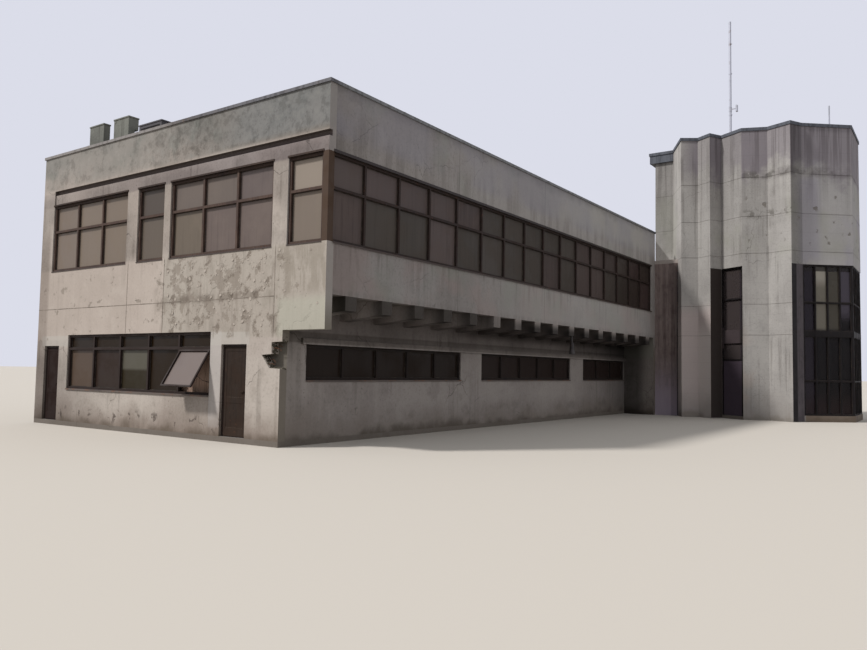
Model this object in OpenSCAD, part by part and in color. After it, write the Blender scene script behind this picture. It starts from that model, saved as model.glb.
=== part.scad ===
// Concrete factory office building, in millimetres, +Z up.
// A long two-storey block carries its upper floor out over a recessed ground floor.
// A taller tower of pleated concrete stands in front of the block's far end.
// The origin is at ground level under the middle of the building's outline.
// Inside the modules X = 0 is the end wall's face and Y = 0 the upper long wall's face.

/* [Block] */
// Width of one window bay along the long side
bay_w = 1200; // [1000:10:1400]
// Number of window bays along the long side
bay_count = 16; // [12:1:20]
// Blind pier that ends the long upper window
end_pier_w = 440; // [300:10:700]
// Thickness of the block's walls
wall_t = 200; // [160:10:260]
// How far the upper floor stands out over the ground floor
cantilever = 1240; // [900:10:1500]

/* [Levels] */
// Thickness of the ground slab
ground_slab_t = 120; // [80:10:200]
// Clear height of the ground floor
ground_room_h = 3030; // [2800:10:3300]
// Thickness of the first floor
floor_t = 200; // [160:10:260]
// Height of the upper window sill above its floor
sill_h = 870; // [700:10:1000]
// Height of the upper window
window_h = 1850; // [1500:10:2100]
// Height of the concrete band over the upper window
lintel_h = 300; // [200:10:400]
// Thickness of the block's roof slab
roof_t = 250; // [200:10:350]
// Height of the parapet above the shadow groove
parapet_h = 980; // [700:10:1200]
// Thickness of the block's coping
coping_h = 70; // [40:5:120]
// How far every coping stands out over its wall
coping_overhang = 30; // [10:5:60]

/* [Shadow groove] */
// Height of the groove above the end windows
groove_h = 130; // [60:10:200]
// Depth of the groove
groove_d = 90; // [40:5:130]
// Width of the slot that ends the groove
groove_slot_w = 80; // [40:5:150]

/* [End wall ground floor] */
// Height of the upper end wall's lower edge above the ground slab
end_soffit_h = 2320; // [2250:10:2500]
// Width of the pier at the overhung corner
right_pier_w = 1040; // [900:10:1300]
// Width of the right door's opening
right_door_w = 830; // [750:10:1000]
// Width of the left door's opening
left_door_w = 740; // [700:10:900]
// Width of the pier beside the left door
left_pier_w = 410; // [300:10:600]
// Height of the door openings
door_h = 2030; // [1950:10:2150]
// Sill of the strip window above the ground slab
end_strip_sill_h = 880; // [700:10:1200]
// Height of the strip window's lower lights
end_strip_light_h = 1070; // [900:10:1200]
// Wall between the right door and the strip window
strip_right_margin = 380; // [250:10:600]
// Wall between the strip window and the left door
strip_left_margin = 450; // [250:10:600]
// Number of lights in the strip window
end_strip_bays = 5; // [3:1:7]

/* [End wall upper floor] */
// Side of the post at the glazed corner
corner_post_w = 150; // [100:10:200]
// Width of the corner window's return on the end wall
corner_window_w = 1000; // [800:10:1200]
// Width of the pier beside the corner window
corner_pier_w = 450; // [350:10:600]
// Width of the two wide windows
wide_window_w = 3550; // [3000:10:4000]
// Number of lights in a wide window
wide_window_bays = 3; // [2:1:5]
// Width of the thin pier
thin_pier_w = 250; // [150:10:400]
// Width of the narrow window
narrow_window_w = 1080; // [800:10:1300]
// Width of the middle pier
middle_pier_w = 450; // [350:10:600]
// Width of the pier at the party wall
last_pier_w = 580; // [450:10:800]

/* [Long side ground floor] */
// Width of the column behind the broken pier
corner_column_w = 400; // [300:10:500]
// Depth of that column
corner_column_d = 600; // [400:10:800]
// Width of one strip window
strip_w = 6140; // [5000:10:7000]
// Wall between two strip windows
strip_pier_w = 1110; // [600:10:1600]
// Wall before the first strip window
strip_first_w = 160; // [100:10:400]
// Wall after the last strip window
strip_last_w = 60; // [40:10:400]
// Sill of the strip windows above the ground slab
strip_sill_h = 1270; // [1000:10:1500]
// Height of the strip windows
strip_h = 780; // [500:10:900]
// Height of the ledge over the strip windows
ledge_h = 130; // [80:10:200]
// How far the ledge stands out
ledge_d = 60; // [30:5:120]
// Width of a cantilever rib
rib_w = 350; // [250:10:500]
// Height of a rib at its outer end
rib_tip_h = 300; // [200:10:400]
// Height of a rib at the wall
rib_root_h = 420; // [400:10:600]

/* [Window frames] */
// Face width of frames and glazing bars
bar_w = 60; // [40:5:90]
// Depth of the frames
frame_d = 60; // [40:5:70]
// How far the frames sit behind the wall face
reveal = 40; // [20:5:60]
// Height of the transom above the upper sill
transom_h = 1120; // [900:10:1300]
// Thickness of the glazing
glass_t = 12; // [8:1:20]
// How far a pane laps over the back of its frame
glass_lap = 20; // [10:1:25]
// Angle at which the open window stands
sash_angle = 31; // [10:1:45]
// Face width of its sash
sash_bar_w = 40; // [30:5:60]
// Depth of its sash
sash_d = 40; // [30:5:60]
// Gap beside and under its sash when shut
sash_gap = 5; // [3:1:10]

/* [Doors] */
// Thickness of a door leaf
leaf_t = 45; // [35:1:55]
// Gap around a door leaf
leaf_gap = 8; // [6:1:15]
// Width of a door frame's jambs and head
door_frame_w = 50; // [40:5:80]
// How far the door frames sit behind the wall face
door_reveal = 60; // [40:5:80]
// Height of the door handles above the floor
handle_h = 1000; // [900:10:1100]
// Length of a door handle
handle_l = 120; // [90:5:140]

/* [Tower plan] */
// Width of the tower over its ridges
tower_w = 6000; // [5600:10:7000]
// How far the tower's ridges stand in front of the block's far end
tower_lap = 640; // [400:10:900]
// Gap between the long wall's face and the tower's first ridge
tower_gap = 1280; // [1200:10:1600]
// Thickness of the tower's walls
tower_wall_t = 200; // [160:10:240]
// Width of the first pleated fin, ridge to ridge
fin_a_w = 1120; // [1000:10:1400]
// Width of the second pleated fin, ridge to ridge
fin_b_w = 1720; // [1500:10:2000]
// Distance from the first fin's last ridge to the second fin's first
recess_w = 1180; // [1100:10:1400]
// Depth of the pleats
fold_d = 350; // [250:10:400]
// Depth of the returns beside the glazing
return_d = 530; // [450:10:600]
// Width of the returns beside the glazing
return_w = 290; // [250:10:350]
// How far the narrow neck stands in from the ridges
neck_inset = 1600; // [1400:10:1800]
// How far the neck reaches past the long wall's face
neck_back = 300; // [200:10:500]
// Gap between the long wall's face and the tower's shoulder
shoulder_gap = 450; // [350:10:600]
// How far the front corners stand in from the ridges
front_inset = 1800; // [1500:10:2000]
// How far the front stands out past the last returns
front_reach = 1510; // [1300:10:1700]

/* [Tower levels] */
// Head of the tower's glazing above the first floor
tower_glazing_h = 2470; // [2200:10:2600]
// Thickness of the tower's second floor
tower_floor_t = 250; // [200:10:300]
// Clear height of the closed top storey
top_room_h = 4330; // [3800:10:4600]
// Thickness of the tower's roof slab
tower_roof_t = 250; // [200:10:300]
// Height of the tower's parapet above its roof slab
tower_parapet_h = 380; // [250:10:500]
// Thickness of the tower's coping
tower_coping_h = 120; // [80:10:160]
// Thickness of the fascia around the neck
fascia_t = 100; // [60:10:140]
// Depth of the box eaves behind the neck
eaves_d = 210; // [150:10:300]
// Height of the fascia
fascia_h = 330; // [250:10:450]

/* [Tower glazing] */
// Height of the plinth under the curtain wall
plinth_h = 230; // [180:10:300]
// How far the curtain wall's frame sits behind the wall face
curtain_reveal = 20; // [10:5:40]
// Rail of the curtain wall's lower lights above the ground slab
curtain_rail_h = 1380; // [1000:10:1800]
// Transom of the curtain wall's upper lights above the first floor
curtain_transom_h = 1050; // [700:10:1600]
// Number of lights on each slanted side of the curtain wall
side_lights = 4; // [2:1:5]
// Number of lights on the curtain wall's front
front_lights = 5; // [3:1:6]
// How far the recess screen sits behind the ridge line
screen_reveal = 60; // [40:5:100]
// Height of the recess door's opening above its floor
recess_door_h = 2100; // [2000:10:2200]
// Head of the recess screen's lower light above the ground slab
screen_light_h = 2770; // [2500:10:2900]
// Transom of the recess screen above the first floor
screen_transom_h = 1250; // [900:10:1600]

/* [Link] */
// Height of the link between block and tower
link_h = 6200; // [5800:10:6600]
// Thickness of the link's front panel
link_panel_t = 60; // [40:5:100]
// Thickness of the link's roof
link_roof_t = 150; // [100:10:200]

/* [Roof pieces] */
// Distance of the roof stacks from the end wall's face
stack_setback = 600; // [400:10:1000]
// Width of a roof stack
stack_w = 690; // [500:10:800]
// Thickness of a roof stack
stack_t = 190; // [150:10:300]
// Height of the roof stacks above the roof slab
stack_h = 1790; // [1500:10:2000]
// Height of the deep cap on the second stack
stack_cap_h = 340; // [200:10:400]
// How far that cap stands out to the rear
stack_cap_d = 110; // [60:10:200]
// Width of the low vent box
vent_box_w = 980; // [700:10:1200]
// Depth of the low vent box
vent_box_d = 300; // [200:10:500]
// Height of the low vent box
vent_box_h = 1420; // [1200:10:1600]
// Distance between the roof stacks and the party wall
stack_party_gap = 980; // [600:10:1200]
// Gap between the roof stacks
stack_gap = 500; // [300:10:700]
// Height of the main mast above the tower's roof slab
mast_h = 6180; // [4000:10:7000]
// Diameter of the main mast
mast_d = 100; // [60:5:140]
// Height of the short aerial above the tower's roof slab
aerial_h = 1780; // [1200:10:2500]
// Diameter of the short aerial
aerial_d = 60; // [30:5:90]

/* [Hidden] */
$fn = 32;

// Block levels
ground_top = ground_slab_t;
floor_z = ground_top + ground_room_h;
floor_top = floor_z + floor_t;
sill_z = floor_top + sill_h;
head_z = sill_z + window_h;
lintel_top = head_z + lintel_h;
groove_top = lintel_top + groove_h;
parapet_top = groove_top + parapet_h;
end_soffit_z = ground_top + end_soffit_h;
door_head_z = ground_top + door_h;
end_strip_sill_z = ground_top + end_strip_sill_h;
end_strip_transom_z = end_strip_sill_z + end_strip_light_h;
strip_sill_z = ground_top + strip_sill_h;
strip_head_z = strip_sill_z + strip_h;

// Block plan along X
long_window_end = bay_count * bay_w;
block_len = long_window_end + end_pier_w;
inner_end_x = block_len - wall_t;
long_wall_start = wall_t + corner_column_w;
strip_pitch = strip_w + strip_pier_w;
strip_limit = inner_end_x - strip_last_w;
strip_spans = [
    for (x = long_wall_start + strip_first_w; x < strip_limit - 2 * bay_w; x = x + strip_pitch)
        [x, min(x + strip_w, strip_limit)]
];

// Block plan along Y on the upper end wall, from the glazed corner to the party wall
corner_window = [corner_post_w, corner_post_w + corner_window_w];
wide_window_1 = [corner_window[1] + corner_pier_w, corner_window[1] + corner_pier_w + wide_window_w];
narrow_window = [wide_window_1[1] + thin_pier_w, wide_window_1[1] + thin_pier_w + narrow_window_w];
wide_window_2 = [narrow_window[1] + middle_pier_w, narrow_window[1] + middle_pier_w + wide_window_w];
block_d = wide_window_2[1] + last_pier_w;
inner_party_y = block_d - wall_t;

// Block plan along Y on the ground floor's end wall
right_door = [cantilever + right_pier_w, cantilever + right_pier_w + right_door_w];
left_door = [block_d - left_pier_w - left_door_w, block_d - left_pier_w];
end_strip = [right_door[1] + strip_right_margin, left_door[0] - strip_left_margin];

// Broken inner corner of the overhung pier, from its top corner down: across, up
broken_edge = [
    [-50, 0], [-50, -240], [270, -250], [260, -500], [560, -520], [320, -800], [0, -810]
];

// Depth of the back of the window frames, where the glass lies
glass_y = reveal + frame_d;
door_frame_back = door_reveal + frame_d;
end_leaf_top = door_head_z - door_frame_w - leaf_gap;

// Lever handles: distance from the leaf's edge, rose and lever
handle_inset = 60;
rose_d = 46;
rose_t = 8;
lever_t = 18;
lever_reach = 40;

// Lift-off hinges: heights above the floor, barrel, flap (half its thickness) and play between the halves
hinge_heights = [300, 1050, 1750];
hinge_r = 8;
hinge_half_h = 50;
hinge_flap_w = 34;
hinge_flap_t = 3;
hinge_play = 0.3;

// Masts: places in front of the long wall's plane, foot plate, arm and antenna
mast_y = -2470;
aerial_y = -6220;
foot_t = 20;
antenna_z = 2350;
antenna_reach = 230;
antenna_w = 160;
antenna_h = 270;
antenna_t = 60;
arm_w = 40;

// How far cuts reach past the faces they go through
cut = 1;

// Play between pieces that meet on a slanted face
seat_play = 0.2;

// Tower levels
tower_head_z = floor_top + tower_glazing_h;
top_floor_z = tower_head_z + tower_floor_t;
tower_roof_z = top_floor_z + top_room_h;
tower_roof_top = tower_roof_z + tower_roof_t;
tower_wall_top = tower_roof_top + tower_parapet_h;
recess_door_z = ground_top + recess_door_h;
screen_light_z = ground_top + screen_light_h;

// Tower plan: the left half from the neck to the front corner, then its mirror image
tower_x = block_len - tower_lap;
ridge_2_y = -tower_gap - fin_a_w;
ridge_3_y = ridge_2_y - recess_w;
ridge_4_y = ridge_3_y - fin_b_w;
left_half = [
    [neck_inset, neck_back],
    [neck_inset, -shoulder_gap],
    [0, -tower_gap],
    [fold_d, -tower_gap - fin_a_w / 2],
    [0, ridge_2_y],
    [return_d, ridge_2_y - return_w],
    [0, ridge_3_y],
    [fold_d, ridge_3_y - fin_b_w / 2],
    [0, ridge_4_y],
    [return_d, ridge_4_y - return_w],
    [front_inset, ridge_4_y - return_w - front_reach]
];
half_points = len(left_half);
right_half = [
    for (i = [half_points - 1:-1:0]) [tower_w - left_half[i][0], left_half[i][1]]
];
tower_plan = concat(left_half, right_half);
plan_points = len(tower_plan);

// Corners of the plan by number, and the same corner on the mirrored side
neck = 0;
recess_start = 5;
recess_end = 6;
last_return = 9;
front_corner = last_return + 1;
function opposite(i) = plan_points - 1 - i;

function unit(v) = v / norm(v);
function leftward(v) = [-v[1], v[0]];
function corner(i) = tower_plan[(i + plan_points) % plan_points];
function edge_dir(i) = unit(corner(i + 1) - corner(i));
function edge_len(i) = norm(corner(i + 1) - corner(i));
// Corner of the plan moved inward by t along the mitre of its two walls
function mitre(i, t) =
    let (n1 = leftward(edge_dir(i - 1)), n2 = leftward(edge_dir(i)))
    corner(i) + (n1 + n2) * t / (1 + n1 * n2);
// Where the mitres cut edge i at depth t, measured along the edge
function edge_start(i, t) = (mitre(i, t) - corner(i)) * edge_dir(i);
function edge_end(i, t) = (mitre(i + 1, t) - corner(i)) * edge_dir(i);
// Inset of a floor's edge i, with its own values at the recess and at the curtain wall
function among(i, list) = len([for (v = list) if (v == i) v]) > 0;
function slab_inset(i, recess_t, curtain_t) =
    among(i, recess_edges) ? recess_t : among(i, curtain_edges) ? curtain_t : tower_wall_t;
// Where a floor's depth changes from before to after at corner i, clear of the thicker wall's end
function slab_corner(i, before, after) =
    before == after
        ? [mitre(i, before)]
        : before > after
            ? [mitre(i, before), mitre(i, after) + edge_dir(i) * seat_play]
            : [mitre(i, before) - edge_dir(i - 1) * seat_play, mitre(i, after)];
// Y of the shoulder wall's face at a distance x from the ridge line
function shoulder_y(x) = -tower_gap + x * (tower_gap - shoulder_gap) / neck_inset;

curtain_back = curtain_reveal + frame_d;
screen_back = screen_reveal + frame_d;
recess_edges = [recess_start, opposite(recess_end)];
curtain_edges = [last_return, front_corner, opposite(front_corner)];

// Link between the block's far end and the tower's neck
link_front_y = shoulder_y(tower_lap);
link_back_y = neck_back - tower_wall_t;
neck_x = tower_x + neck_inset;

// Middle of the building's outline
coping_xs = [for (i = [0:plan_points - 1]) tower_x + mitre(i, -coping_overhang)[0]];
coping_ys = [for (i = [0:plan_points - 1]) mitre(i, -coping_overhang)[1]];
mid_x = (max(coping_xs) - coping_overhang) / 2;
mid_y = (min(coping_ys) + block_d + coping_overhang) / 2;

// Placing

module at_site() {
    translate([-mid_x, -mid_y, 0]) children();
}

// A wall drawn along X becomes the end wall: along Y, with its depth along X
module on_end_wall() {
    mirror([1, -1, 0]) children();
}

// The same for the far end wall, whose face looks the other way
module on_far_end() {
    translate([block_len, 0, 0]) mirror([1, 0, 0]) on_end_wall() children();
}

// X along edge i of the tower's plan, Y into the tower
module along_edge(i) {
    translate([tower_x + corner(i)[0], corner(i)[1], 0])
        rotate(atan2(edge_dir(i)[1], edge_dir(i)[0]))
            children();
}

// Shared shapes

// A flat outline drawn in X and Z, filled between two depths along Y
module plate(from, to) {
    translate([0, to, 0]) rotate([90, 0, 0]) linear_extrude(to - from) children();
}

module box(low, high) {
    translate(low) cube(high - low);
}

module rectangle(xs, zs) {
    translate([xs[0], zs[0]]) square([xs[1] - xs[0], zs[1] - zs[0]]);
}

// Grid lines that split a span into equal bays
function grid(span, bays) = [for (i = [0:bays]) span[0] + (span[1] - span[0]) * i / bays];
// Clear lights between the bars of a grid
function lights(lines) = [
    for (i = [0:len(lines) - 2])
        [
            lines[i] + (i == 0 ? bar_w : bar_w / 2),
            lines[i + 1] - (i == len(lines) - 2 ? bar_w : bar_w / 2)
        ]
];
function widened(span, by) = [span[0] - by, span[1] + by];

module frame_outline(xs, zs) {
    difference() {
        rectangle([xs[0], xs[len(xs) - 1]], [zs[0], zs[len(zs) - 1]]);
        for (x = lights(xs), z = lights(zs)) rectangle(x, z);
    }
}

module window_frame(xs, zs) {
    plate(reveal, reveal + frame_d) frame_outline(xs, zs);
}

// One pane to a light, but none in the light that stands open
module panes(xs, zs, depth, open = []) {
    for (x = lights(xs), z = lights(zs))
        if (open != [x, z])
            plate(depth, depth + glass_t) rectangle(widened(x, glass_lap), widened(z, glass_lap));
}

// Closed place of the sash in its light: across, and down from its hinge line
function sash_span(x) = widened(x, -sash_gap);
function sash_drop(z) = [z[0] + sash_gap - z[1] + hinge_play, 0];

// Turns a top-hung sash out about its upper front edge
module turned_out(z) {
    translate([0, reveal, z[1] - hinge_play]) rotate([-sash_angle, 0, 0]) children();
}

module open_sash(x, z) {
    turned_out(z)
        plate(0, sash_d)
            difference() {
                rectangle(sash_span(x), sash_drop(z));
                rectangle(widened(sash_span(x), -sash_bar_w), widened(sash_drop(z), -sash_bar_w));
            }
}

module open_pane(x, z) {
    rim = glass_lap - sash_bar_w;
    turned_out(z)
        plate(sash_d + seat_play, sash_d + seat_play + glass_t)
            rectangle(widened(sash_span(x), rim), widened(sash_drop(z), rim));
}

upper_end_windows = [
    grid(wide_window_1, wide_window_bays),
    grid(narrow_window, 1),
    grid(wide_window_2, wide_window_bays)
];
upper_rows = [sill_z, sill_z + transom_h, head_z];
end_strip_rows = [end_strip_sill_z, end_strip_transom_z, end_soffit_z];
open_light = [lights(grid(end_strip, end_strip_bays))[0], lights(end_strip_rows)[0]];
long_window_lines = concat([corner_post_w], [for (i = [1:bay_count]) i * bay_w]);
function strip_lines(span) = grid(span, max(1, round((span[1] - span[0]) / bay_w)));

// A door leaf in the plane of a wall, hinged at the far end of its span
module door_leaf(span, top, back) {
    plate(back - leaf_t, back) rectangle(span, [ground_top + leaf_gap, top]);
    at_hinges(span, back) translate([0, 0, hinge_play]) mirror([1, 0, 0]) hinge_half();
    translate([span[0] + handle_inset, 0, ground_top + handle_h]) {
        translate([0, back, 0]) lever_handle();
        translate([0, back - leaf_t, 0]) mirror([0, 1, 0]) lever_handle();
    }
}

// Pin lines of a leaf's hinges, half way over the gap at the leaf's inner face
module at_hinges(span, back) {
    for (z = hinge_heights)
        translate([span[1] + leaf_gap / 2, back + hinge_r, ground_top + z]) children();
}

// Half of a lift-off hinge: a barrel and its flap, which reaches along X and is let in by half
module hinge_half() {
    cylinder(r = hinge_r, h = hinge_half_h);
    translate([0, -hinge_r - hinge_flap_t, 0])
        cube([hinge_flap_w, 2 * hinge_flap_t, hinge_half_h]);
}

// Lower halves of the hinges, on the jamb that carries the leaf
module jamb_hinges(span, back) {
    at_hinges(span, back) mirror([0, 0, 1]) hinge_half();
}

// Lever handle that stands out along Y and points along X
module lever_handle() {
    rotate([-90, 0, 0]) cylinder(d = rose_d, h = rose_t);
    rotate([-90, 0, 0]) cylinder(d = lever_t, h = lever_reach);
    translate([-lever_t / 2, lever_reach - lever_t, -lever_t / 2])
        cube([handle_l, lever_t, lever_t]);
}

module door_frame(opening) {
    jamb_hinges(end_leaf_span(opening), door_frame_back);
    plate(door_reveal, door_frame_back)
        difference() {
            rectangle(opening, [ground_top, door_head_z]);
            rectangle(
                widened(opening, -door_frame_w),
                [ground_top - cut, door_head_z - door_frame_w]
            );
        }
}

function end_leaf_span(opening) = widened(opening, -door_frame_w - leaf_gap);

// Block

module ground_slab() {
    color("dimgray") at_site()
        box([0, cantilever, 0], [block_len, block_d, ground_top]);
}

module first_floor_slab() {
    color("darkgray") at_site()
        box([wall_t, wall_t, floor_z], [inner_end_x, inner_party_y, floor_top]);
}

module roof_slab() {
    color("darkgray") at_site()
        box([wall_t, wall_t, lintel_top], [inner_end_x, inner_party_y, lintel_top + roof_t]);
}

// Tapered beams under the overhang, one to a bay
module cantilever_ribs() {
    color("gray") at_site()
        for (i = [0:bay_count - 1])
            translate([long_wall_start + i * bay_w, 0, floor_z])
                rotate([90, 0, 90])
                    linear_extrude(rib_w)
                        polygon([
                            [0, 0], [0, -rib_tip_h], [cantilever, -rib_root_h], [cantilever, 0]
                        ]);
}

module end_pier_left() {
    color("tan") at_site() on_end_wall()
        plate(0, wall_t) rectangle([left_door[1], block_d], [ground_top, end_soffit_z]);
}

// The pier under the overhung corner has lost its outer corner down to the breakage
module end_pier_right() {
    color("tan") at_site() on_end_wall()
        plate(0, wall_t)
            polygon(concat(
                [for (p = broken_edge) [cantilever + p[0], end_soffit_z + p[1]]],
                [
                    [cantilever, ground_top],
                    [right_door[0], ground_top],
                    [right_door[0], end_soffit_z]
                ]
            ));
}

module end_wall_middle() {
    color("tan") at_site() on_end_wall()
        plate(0, wall_t)
            difference() {
                rectangle([right_door[1], left_door[0]], [ground_top, end_soffit_z]);
                rectangle(end_strip, [end_strip_sill_z, end_soffit_z + cut]);
            }
}

module door_lintels() {
    color("tan") at_site() on_end_wall()
        plate(0, wall_t)
            for (door = [right_door, left_door]) rectangle(door, [door_head_z, end_soffit_z]);
}

module end_spandrel() {
    color("wheat") at_site() on_end_wall()
        plate(0, wall_t) rectangle([0, block_d], [end_soffit_z, sill_z]);
}

module end_window_piers() {
    piers = [
        [corner_window[1], wide_window_1[0]],
        [wide_window_1[1], narrow_window[0]],
        [narrow_window[1], wide_window_2[0]],
        [wide_window_2[1], block_d]
    ];
    color("wheat") at_site() on_end_wall()
        plate(0, wall_t)
            for (pier = piers) rectangle(pier, [sill_z, head_z]);
}

// Parapet with the window head band, the shadow groove and the slot that ends it
module end_parapet() {
    color("wheat") at_site() on_end_wall()
        difference() {
            plate(0, wall_t) rectangle([0, block_d], [head_z, parapet_top]);
            plate(-cut, groove_d) {
                rectangle([-cut, wide_window_2[1]], [lintel_top, groove_top]);
                rectangle([wide_window_2[1] - groove_slot_w, wide_window_2[1]], [head_z - cut, groove_top]);
            }
        }
}

module long_spandrel() {
    color("gray") at_site()
        plate(0, wall_t) {
            rectangle([wall_t, block_len], [floor_z, sill_z]);
            rectangle([long_window_end, block_len], [floor_z, head_z]);
        }
}

module long_parapet() {
    color("gray") at_site()
        plate(0, wall_t) rectangle([wall_t, block_len], [head_z, parapet_top]);
}

module long_wall_ground() {
    color("dimgray") at_site()
        translate([0, cantilever, 0]) {
            plate(0, wall_t)
                difference() {
                    rectangle([long_wall_start, inner_end_x], [ground_top, floor_z]);
                    for (span = strip_spans) rectangle(span, [strip_sill_z, strip_head_z]);
                }
            plate(-ledge_d, 0)
                rectangle([long_wall_start, inner_end_x], [strip_head_z, strip_head_z + ledge_h]);
        }
}

module corner_column() {
    color("dimgray") at_site()
        box(
            [wall_t, cantilever, ground_top],
            [long_wall_start, cantilever + corner_column_d, floor_z]
        );
}

module party_wall() {
    color("silver") at_site()
        box([wall_t, inner_party_y, ground_top], [block_len, block_d, parapet_top]);
}

// Far end wall, which also closes the space under the overhang
module far_end_wall() {
    color("silver") at_site() on_far_end()
        plate(0, wall_t)
            difference() {
                polygon([
                    [0, 0], [cantilever, 0], [cantilever, ground_top], [inner_party_y, ground_top],
                    [inner_party_y, parapet_top], [wall_t, parapet_top], [wall_t, floor_z],
                    [0, floor_z]
                ]);
                rectangle(end_strip, [end_strip_sill_z, end_soffit_z]);
                for (lines = upper_end_windows)
                    rectangle([lines[0], lines[len(lines) - 1]], [sill_z, head_z]);
            }
}

module block_coping() {
    color("darkslategray") at_site()
        difference() {
            box(
                [-coping_overhang, -coping_overhang, parapet_top],
                [block_len + coping_overhang, block_d + coping_overhang, parapet_top + coping_h]
            );
            box(
                [wall_t + coping_overhang, wall_t + coping_overhang, parapet_top - cut],
                [
                    inner_end_x - coping_overhang,
                    inner_party_y - coping_overhang,
                    parapet_top + coping_h + cut
                ]
            );
        }
}

// Windows of the block

module long_window_frames() {
    color("saddlebrown") at_site() {
        box([0, 0, sill_z], [corner_post_w, corner_post_w, head_z]);
        window_frame(long_window_lines, upper_rows);
    }
}

module long_window_glass() {
    color("slategray") at_site() panes(long_window_lines, upper_rows, glass_y);
}

module long_strip_frames() {
    color("saddlebrown") at_site()
        translate([0, cantilever, 0])
            for (span = strip_spans) window_frame(strip_lines(span), [strip_sill_z, strip_head_z]);
}

module long_strip_glass() {
    color("slategray") at_site()
        translate([0, cantilever, 0])
            for (span = strip_spans) panes(strip_lines(span), [strip_sill_z, strip_head_z], glass_y);
}

module end_window_frames() {
    color("saddlebrown") at_site() on_end_wall() {
        for (lines = concat([corner_window], upper_end_windows)) window_frame(lines, upper_rows);
        window_frame(grid(end_strip, end_strip_bays), end_strip_rows);
        open_sash(open_light[0], open_light[1]);
    }
}

module end_window_glass() {
    color("slategray") at_site() on_end_wall() {
        for (lines = concat([corner_window], upper_end_windows)) panes(lines, upper_rows, glass_y);
        panes(grid(end_strip, end_strip_bays), end_strip_rows, glass_y, open_light);
        open_pane(open_light[0], open_light[1]);
    }
}

module far_window_frames() {
    color("saddlebrown") at_site() on_far_end() {
        for (lines = upper_end_windows) window_frame(lines, upper_rows);
        window_frame(grid(end_strip, end_strip_bays), end_strip_rows);
    }
}

module far_window_glass() {
    color("slategray") at_site() on_far_end() {
        for (lines = upper_end_windows) panes(lines, upper_rows, glass_y);
        panes(grid(end_strip, end_strip_bays), end_strip_rows, glass_y);
    }
}

// Doors of the end wall

module end_door_frames() {
    color("saddlebrown") at_site() on_end_wall()
        for (door = [right_door, left_door]) door_frame(door);
}

module end_door_left() {
    color("sienna") at_site() on_end_wall()
        door_leaf(end_leaf_span(left_door), end_leaf_top, door_frame_back);
}

module end_door_right() {
    color("sienna") at_site() on_end_wall()
        door_leaf(end_leaf_span(right_door), end_leaf_top, door_frame_back);
}

// Two upright stacks and a low box behind the end parapet
module roof_vents() {
    roof_z = lintel_top + roof_t;
    first_y = inner_party_y - stack_party_gap;
    second_y = first_y - stack_w - stack_gap;
    box_y = second_y - stack_w - stack_gap;
    color("gray") at_site()
        translate([stack_setback, 0, roof_z]) {
            box([0, first_y - stack_w, 0], [stack_t, first_y, stack_h]);
            box([0, second_y - stack_w, 0], [stack_t, second_y, stack_h]);
            box(
                [0, second_y - stack_w, stack_h - stack_cap_h],
                [stack_t + stack_cap_d, second_y, stack_h]
            );
            box([0, box_y - vent_box_w, 0], [vent_box_d, box_y, vent_box_h]);
        }
}

// Tower

// Strip of wall that follows the plan between two corners and two depths, with play at its two ends
module wall_band(first, last, outer, inner, play = 0) {
    function at(i, t) =
        mitre(i, t) + (i == first ? edge_dir(i) * play : i == last ? -edge_dir(i - 1) * play : [0, 0]);
    translate([tower_x, 0])
        polygon(concat(
            [for (i = [first:last]) at(i, outer)],
            [for (i = [last:-1:first]) at(i, inner)]
        ));
}

module tower_wall(first, last, from, to) {
    translate([0, 0, from]) linear_extrude(to - from) wall_band(first, last, 0, tower_wall_t);
}

// Inside of the tower, with its own depth at the recess and at the curtain wall
module tower_slab(from, to, recess_t, curtain_t) {
    translate([tower_x, 0, from])
        linear_extrude(to - from)
            polygon([
                for (i = [0:plan_points - 1])
                    let (
                        before = slab_inset((i + plan_points - 1) % plan_points, recess_t, curtain_t),
                        after = slab_inset(i, recess_t, curtain_t)
                    )
                    each slab_corner(i, before, after)
            ]);
}

module tower_floors() {
    color("darkgray") at_site() {
        tower_slab(0, ground_top, 0, tower_wall_t);
        tower_slab(floor_z, floor_top, screen_back, curtain_back);
        tower_slab(tower_head_z, top_floor_z, tower_wall_t, tower_wall_t);
        tower_slab(tower_roof_z, tower_roof_top, tower_wall_t, tower_wall_t);
    }
}

module tower_fin_a() {
    color("lightgray") at_site() tower_wall(neck, recess_start, 0, tower_wall_top);
}

module tower_fin_b() {
    color("gainsboro") at_site() tower_wall(recess_end, last_return, 0, tower_wall_top);
}

// Mirrored fins and the neck's rear wall
module tower_far_wall() {
    color("lightgray") at_site() {
        tower_wall(opposite(last_return), opposite(recess_end), 0, tower_wall_top);
        tower_wall(opposite(recess_start), plan_points, 0, tower_wall_top);
    }
}

// Closed walls over the recesses and the curtain wall
module tower_upper_walls() {
    color("darkgray") at_site() {
        tower_wall(recess_start, recess_end, tower_head_z, tower_wall_top);
        tower_wall(last_return, opposite(last_return), tower_head_z, tower_wall_top);
        tower_wall(opposite(recess_end), opposite(recess_start), tower_head_z, tower_wall_top);
    }
}

module tower_coping() {
    cap_x = neck_inset - fascia_t - coping_overhang;
    color("darkslategray") at_site()
        translate([tower_x, 0, tower_wall_top])
            linear_extrude(tower_coping_h)
                difference() {
                    union() {
                        polygon([for (i = [0:plan_points - 1]) mitre(i, -coping_overhang)]);
                        rectangle(
                            [cap_x, tower_w - cap_x],
                            [-shoulder_gap - coping_overhang, neck_back + eaves_d + coping_overhang]
                        );
                    }
                    polygon([
                        for (i = [0:plan_points - 1]) mitre(i, tower_wall_t + coping_overhang)
                    ]);
                }
}

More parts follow.
